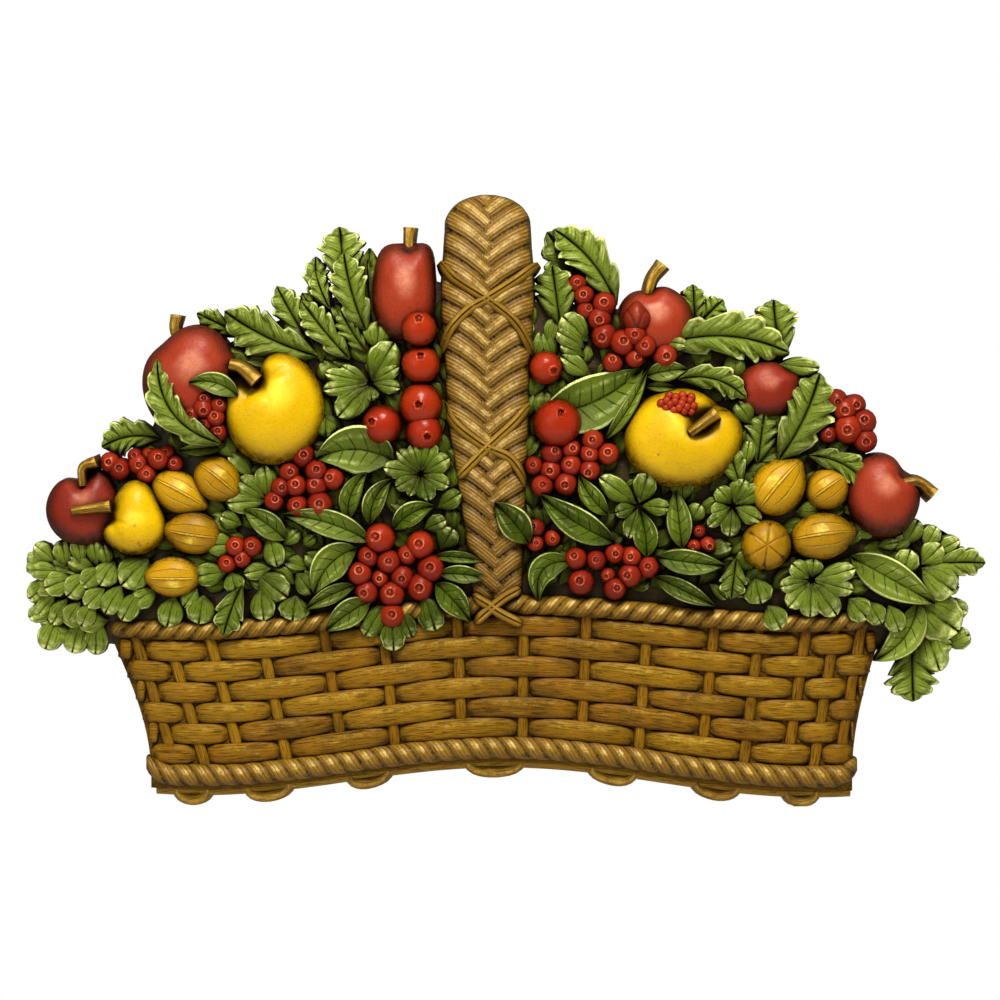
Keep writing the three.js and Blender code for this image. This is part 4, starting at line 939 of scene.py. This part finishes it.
def leaf_marks(a, b, c):
    """Bay leaf: incised midrib, short side veins that sweep forward, a light rim, a painted sheen across
    each half of the blade and painted shade at its base.
    """
    side = abs(b)
    veins = (c - side * 0.95).line(0.11) * side.ramp(0.85, 0.45) * side.ramp(0, 0.06)
    sheen = side.near(0.55, 0.25) * a.ramp(0.15, 0.5) * 0.35
    dark = side.near(0, 0.07).most(veins * 0.9)
    return side.near(0.95, 0.11).most(sheen), dark.most(a.ramp(0.25, 0) * 0.7)


def oak_marks(a, b, c):
    """Lobed leaf: incised midrib, grooves between the lobes, a short stroke down each lobe, light crests on
    the lobes and painted shade at its base.
    """
    side = abs(b)
    bend = c + (grain(a * 4, b * 3, c) - 0.5) * 0.25
    gaps = bend.line(0.09) * side.ramp(0.03, 0.15) * 0.8
    stroke = (bend + 0.5).line(0.06).most((bend + 0.72).line(0.05) * 0.7) * side.ramp(0.08, 0.25)
    crest = (bend + 0.36).line(0.2).most((bend + 0.15).line(0.16)) * side.ramp(0.15, 0.5) * 0.36
    dark = (side.near(0, 0.055) * 0.8).most(gaps).most(stroke * side.ramp(0.92, 0.6) * 0.6)
    return side.near(0.95, 0.12).most(crest), dark.most(a.ramp(0.2, 0.0) * 0.7)


def petal_marks(a, b, c):
    """Round leaf: strokes fanning from a base darkened with painted shade, light lobes between them, a
    light rim and a broad painted highlight towards the tip.
    """
    side = abs(b)
    wave = c + (grain(a * 3, b * 2, c) - 0.5) * 0.7
    strokes = wave.line(0.09).most((wave * 2).line(0.12) * 0.6) * a.ramp(0.86, 0.5) * side.ramp(0.9, 0.7)
    between = (wave + 0.5).line(0.45) * a.ramp(0.25, 0.7) * a.ramp(1.0, 0.85) * 0.28
    rim = a.near(0.93, 0.13).most(side.near(0.92, 0.13) * a.ramp(0.3, 0.7)) * 0.75
    broad = a.near(0.78, 0.3) * side.ramp(1.0, 0.7) * 0.36
    return rim.most(between).most(broad), (strokes * 0.9).most(a.ramp(0.5, 0.05) * 0.9)


def nut_marks(a, b, c):
    """Shell: a ridge between two fine grooves from end to end, and fainter seams beside it."""
    meridian = b / ((a * a) * -0.96 + 1.0).apply("SQRT") - 0.1
    side = abs(meridian)
    seams = meridian * 2.1 + (grain(a * 2, b * 2, c) - 0.5) * 0.35
    spread = side.ramp(0.22, 0.36) * a.ramp(-0.95, -0.1)
    light = (side.near(0, 0.06) * 0.5).most((seams + 0.14).line(0.09) * spread * 0.35)
    return light, (side.near(0.07, 0.03) * 0.8).most(seams.line(0.07) * spread * 0.65)


def plain_marks(a, b, c):
    return a * 0, a * 0


def eye_marks(a, b, c):
    """Berry: a light ring round a dark dimple with a light point in it."""
    gap = (a * a + b * b).apply("SQRT")
    return (gap.near(1.08, 0.34) * 0.5).most(gap.near(0, 0.3) * 0.5), gap.near(0.5, 0.40) * 0.9


def cherry_marks(a, b, c):
    """Cherry: a five-pointed dark calyx with a light point in it."""
    gap = (a * a + b * b).apply("SQRT")
    star = gap - (a.apply("ARCTAN2", b) * 5).apply("COSINE") * 0.13
    return gap.near(0.1, 0.35) * 0.3 + star.near(1.35, 0.45) * 0.35, star.near(0.55, 0.5) * 0.9


def wood_marks(a, b, c):
    """Split cane: fine streaks and short cracks along it."""
    streak = grain(a * 0.09, b * 2.0, c)
    return streak.ramp(0.55, 0.72) * 0.5, streak.ramp(0.46, 0.34) * 0.75


def rope_marks(a, b, c):
    """Rope: fibres along each strand."""
    fray = grain(a * 5, b * 1.5, c)
    return fray.ramp(0.5, 0.7) * 0.25, a.line(0.13).most((a * 4 + fray * 0.5).line(0.16) * 0.7)


def straw_marks(a, b, c):
    """Plait: six straws to a strand, a dark gap between strands, and none of it across the lock."""
    fray = grain(c * 0.05, a * 6, b)
    straws = a * 6 + fray * 0.5
    on_strand = (b - 0.5).near(0, 0.49) * -1.0 + 1.0
    dark = a.line(0.12).most((straws + 0.5).line(0.2) * 0.5)
    return straws.line(0.2) * on_strand * 0.5, dark * on_strand


def rgb(code):
    """Linear colour of a hex code."""
    parts = [int(code[i:i + 2], 16) / 255 for i in (1, 3, 5)]
    return (*[c / 12.92 if c <= 0.04045 else ((c + 0.055) / 1.055) ** 2.4 for c in parts], 1)


def paint(name, colours, brush_and_highlight_colour, wash_and_shade_colour, hollow_mm, marks, stain, roughness=0.42, speckle=None, worn=0.4,
          gloss=0.22):
    """Painted plastic: mottled base colours, dark marks that are a wash in the incised lines and painted
    shade at the bases of leaves, a dark wash in the hollows that is partly the paint's own and partly
    painted shade, painted shade on the side walls and wherever lit is below 0, and a light
    dry-brushing of the raised edges with painted highlights wherever lit is above 0.

    colours are the darkest, middle and lightest base colour; the next two colours are those of the
    dry-brushing and painted highlights, and of the wash and painted shade. stain is how much of the
    wash is left in fine dots all over, speckle is a colour and its amount, and worn is the least share
    of wash, shade, brushing and highlight that a spot keeps."""
    paints[name] = material = bpy.data.materials.new(name + "_paint")
    material.use_nodes = True
    tree = material.node_tree
    shader = tree.nodes["Principled BSDF"]
    shader.inputs["Roughness"].default_value = roughness
    shader.inputs["Specular IOR Level"].default_value = gloss
    place = add_node(tree, "TexCoord").outputs["Object"]

    def noise(scale, detail):
        return add_noise(tree, place, scale, detail)

    def attribute(key, output="Fac"):
        return add_node(tree, "Attribute", attribute_name=key).outputs[output]

    def blend(factor, a, b):
        a, b = (rgb(colour) if isinstance(colour, str) else colour for colour in (a, b))
        return add_node(tree, "Mix", {"Factor": factor, 6: a, 7: b}, data_type="RGBA").outputs[2]

    def split(vector):
        return [Field(tree, socket) for socket in add_node(tree, "SeparateXYZ", {0: vector}).outputs]

    light, dark = marks(*split(attribute("grid", "Vector")))
    # painted shade on the side walls: surfaces turned away from the front are darkened
    facing = abs(split(add_node(tree, "NewGeometry").outputs["Normal"])[1])
    wall_shade = facing.ramp(0.5, 0.1, 0, WALL_SHADE)
    lit = Field(tree, attribute("lit"))
    tone = Field(tree, attribute("tone"))
    # a dark wash in the hollows from ambient occlusion, partly the paint's own wash and partly painted
    # shade
    cavity = add_node(tree, "AmbientOcclusion", {"Distance": hollow_mm * MM}, samples=8)
    open_air = Field(tree, cavity.outputs["AO"]).ramp(0.2, 0.92)
    stipple = noise(900, 2)
    coverage = (noise(240, 3) * 0.6 + stipple * 0.4).ramp(0.36, 0.62, worn, 1.0)

    base = blend(noise(45, 4).ramp(0.38, 0.62), *colours[:2])
    base = blend(tone.ramp(0, 1, 0, 0.8), base, colours[2])
    base = blend(stipple.ramp(0.56, 0.70, 0, stain), base, wash_and_shade_colour)
    if speckle:
        base = blend(noise(130, 2).ramp(0.70, 0.74, 0, speckle[1]), base, speckle[0])
    # dry-brushing of the light marks, and painted highlights where lit is above 0
    brush_and_highlight = (lit.ramp(0, 1).most(light)) * coverage * open_air * tone.ramp(0, 1, 0.85, 1.15)
    base = blend(brush_and_highlight.ramp(0.08, 0.72) * (wall_shade * -1.0 + 1.0), base, brush_and_highlight_colour)
    # the wash in the dark marks, and painted shade where lit is below 0, in the hollows and on the side
    # walls
    wash_and_shade = ((lit * -1.0).ramp(0, 1).most(dark) * coverage).most(open_air * -1.0 + 1.0).most(wall_shade)
    tree.links.new(blend(wash_and_shade, base, wash_and_shade_colour), shader.inputs["Base Color"])
    height = light * 0.5 - dark + noise(420, 3) * 0.5
    incised = add_node(tree, "Bump", {"Strength": 0.9, "Distance": INCISED * MM, "Height": height})
    tree.links.new(incised.outputs[0], shader.inputs["Normal"])


INCISED = 0.5  # depth of the incised marks
# Each set gives the darkest, middle and lightest base colour, the colour of the dry-brushing and painted
# highlights, the colour of the wash and painted shade, and the reach of the hollows in mm.
GREENS = ("#324104", "#4d6309", "#849a36"), "#e4f29e", "#1c1600", 9
CANE_BROWNS = ("#6c4a08", "#885e0a", "#96700e"), "#ccaa40", "#241200", 7
SHELLS = ("#967002", "#b48604", "#cc9e06"), "#fadc58", "#2a1600", 9
paint("bay", *GREENS, leaf_marks, 0.25, gloss=0.1)
paint("oak", *GREENS, oak_marks, 0.25, gloss=0.1)
paint("petal", *GREENS, petal_marks, 0.25, gloss=0.1)
# The ground between the leaves is painted dark, as shade.
paint("ground", ("#2a1e04", "#362808", "#42360a"), "#5c5420", "#180f02", 8, plain_marks, 0.3)
paint("apple", ("#842414", "#9c321a", "#a63a1e"), "#dc8e74", "#200c04", 12, plain_marks, 0.3, worn=0.75)
paint("pear", ("#cca200", "#e8c000", "#e4ba00"), "#fff04a", "#3a2000", 12, plain_marks, 0.22, 0.38,
      ("#8a5a10", 0.6), 0.7)
paint("nut", *SHELLS, nut_marks, 0.28)
paint("nut_end", *SHELLS, plain_marks, 0.28)
paint("cherry", ("#8e2006", "#a2280a", "#ac300c"), "#f0906a", "#220600", 9, cherry_marks, 0.25, 0.28)
paint("berry", ("#78180a", "#8c220c", "#a22c10"), "#f08a60", "#200400", 6, eye_marks, 0.2, 0.34)
paint("drupelet", ("#9a2a0c", "#ae3410", "#ba3c16"), "#f08a60", "#300800", 4, plain_marks, 0.2)
paint("bud", ("#641408", "#781e0c", "#8a2a12"), "#d07454", "#220600", 5, plain_marks, 0.2)
paint("stem", ("#74500a", "#8c680e", "#987414"), "#d8b24c", "#221000", 6, wood_marks, 0.25)
paint("stake", *CANE_BROWNS, wood_marks, 0.2, gloss=0.14)
paint("wicker", *CANE_BROWNS, wood_marks, 0.2, gloss=0.14)
paint("rope", ("#765014", "#8a681c", "#967424"), "#e2c470", "#221000", 6, rope_marks, 0.25)
paint("cane", ("#785812", "#8e6c1a", "#987622"), "#d4b254", "#221200", 5, plain_marks, 0.25)
paint("back", ("#846438", "#947244", "#a07e4e"), "#b8986a", "#241606", 4, plain_marks, 0.2)
paint("straw", ("#6c4c14", "#805e1c", "#8a6822"), "#d8b870", "#1e1000", 6, straw_marks, 0.3)

# --- Making every form ---

scene = bpy.context.scene
add_heap()
for add, items in (
    (add_leaf, LEAVES), (add_rosette, ROSETTES), (partial(add_fruit, "apple"), APPLES),
    (partial(add_fruit, "pear"), PEARS), (add_nut, NUTS), (add_cherry, CHERRIES), (add_berry, BERRIES),
    (add_stem, STEMS),
):
    for item in items:
        add(*item)
add_underleaves()
add_drupelets()
add_bud()
add_basket_body()
add_stakes()
add_weave()
add_rope(*RIM_ROPE)
add_rope(*FOOT_ROPE)
add_base_rod()
for loop in LOOPS:
    add_loop(*loop)
add_braid()
for cane in CANES:
    add_cane(*cane)


# --- Casting: all forms fused, and the back cut flat ---

SLAB_HALF_X, SLAB_HALF_Z, SLAB_DEPTH, SLAB_STEP = 400.0, 300.0, 20.0, 25.0  # what is cut away behind
SHARP_EDGE = 42  # degrees between two faces


def cast():
    """Fuses every form into one mesh and cuts away what lies behind the wall plane."""
    parts = list(forms.objects)
    host = parts[0]
    forms.objects.unlink(host)
    scene.collection.objects.link(host)
    fuse = host.modifiers.new("fuse", "BOOLEAN")
    fuse.operation, fuse.solver = "UNION", "MANIFOLD"
    fuse.operand_type, fuse.collection = "COLLECTION", forms
    fuse.material_mode = "TRANSFER"
    across, up = (np.arange(-half, half + 1, SLAB_STEP) for half in (SLAB_HALF_X, SLAB_HALF_Z))
    x, z = np.meshgrid(across, up, indexing="ij")
    plane = np.stack([x, 0 * x, z], -1).reshape(-1, 3)
    points = np.concatenate([plane, plane + (0, SLAB_DEPTH, 0)])
    slab, _ = solid_mesh("slab", points * MM, shell_faces(*x.shape))
    slab.materials.append(paints["back"])
    behind = bpy.data.objects.new("slab", slab)
    scene.collection.objects.link(behind)
    trim = host.modifiers.new("trim", "BOOLEAN")
    trim.operation, trim.solver, trim.object = "DIFFERENCE", "MANIFOLD", behind
    graph = bpy.context.evaluated_depsgraph_get()
    mesh = bpy.data.meshes.new_from_object(host.evaluated_get(graph))
    for part in [*parts, behind]:
        bpy.data.objects.remove(part)
    return mesh


def drop_specks(mesh):
    """Keeps only the casting itself, without any loose speck that the cuts leave behind."""
    shape = bmesh.new()
    shape.from_mesh(mesh)
    islands, unseen = [], set(shape.verts)
    while unseen:
        island = [unseen.pop()]
        for point in island:
            near = {edge.other_vert(point) for edge in point.link_edges} & unseen
            unseen -= near
            island.extend(near)
        islands.append(island)
    islands.sort(key=len)
    bmesh.ops.delete(shape, geom=sum(islands[:-1], []), context="VERTS")
    shape.to_mesh(mesh)
    shape.free()


casting = cast()
drop_specks(casting)
casting.name = "plaque_relief"
casting.set_sharp_from_angle(angle=np.radians(SHARP_EDGE))
relief = bpy.data.objects.new("plaque_relief", casting)
scene.collection.objects.link(relief)
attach(relief, "root")
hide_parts("plaque")

# --- Camera, light and floor, in metres ---

DISTANCE, PICTURE_WIDTH, SENSOR = 3.0, 600 * MM, 36
camera = bpy.data.objects.new("camera", bpy.data.cameras.new("camera"))
camera.location = (-3 * MM, -DISTANCE, 0.6 * MM)
camera.rotation_euler = (np.pi / 2, 0, 0)
camera.data.lens = SENSOR * DISTANCE / PICTURE_WIDTH
scene.collection.objects.link(camera)
scene.camera = camera

for name, place, size, power in (
    ("key", (0.10, -1.3, 1.7), 0.6, 56),
    ("fill", (-1.4, -2.0, 0.6), 1.6, 12),
):
    lamp = bpy.data.objects.new(name, bpy.data.lights.new(name, "AREA"))
    lamp.data.size = size
    lamp.data.energy = power
    lamp.data.color = (1, 0.93, 0.80)
    lamp.location = place
    lamp.rotation_euler = (-Vector(place)).to_track_quat("-Z", "Y").to_euler()
    scene.collection.objects.link(lamp)

world = bpy.data.worlds.new("studio")
world.use_nodes = True
sky = world.node_tree
lit_by = sky.nodes["Background"]
lit_by.inputs["Color"].default_value = (1, 0.90, 0.74, 1)
lit_by.inputs["Strength"].default_value = 0.26
seen = add_node(sky, "Background", {"Color": (1, 1, 1, 1)})
path = add_node(sky, "LightPath")
feeds = path.outputs["Is Camera Ray"], lit_by.outputs[0], seen.outputs[0]
choose = add_node(sky, "MixShader", enumerate(feeds))
sky.links.new(choose.outputs[0], sky.nodes["World Output"].inputs["Surface"])
scene.world = world
scene.view_settings.view_transform = "Standard"

FLOOR_HALF, FLOOR_Z, FLOOR_SIDES = 1.2, -0.5, 64
floor_mesh = bpy.data.meshes.new("floor")
around = np.linspace(0, 2 * np.pi, FLOOR_SIDES, endpoint=False)
rim = [(FLOOR_HALF * np.cos(a), FLOOR_HALF * np.sin(a), FLOOR_Z) for a in around]
floor_mesh.from_pydata(rim, [], [tuple(range(FLOOR_SIDES))])
floor = bpy.data.objects.new("floor", floor_mesh)
scene.collection.objects.link(floor)
floor_paint = bpy.data.materials.new("floor_paint")
floor_paint.use_nodes = True
floor_shader = floor_paint.node_tree.nodes["Principled BSDF"]
floor_shader.inputs["Base Color"].default_value = (0.85, 0.85, 0.83, 1)
floor_shader.inputs["Roughness"].default_value = 0.7
floor_mesh.materials.append(floor_paint)
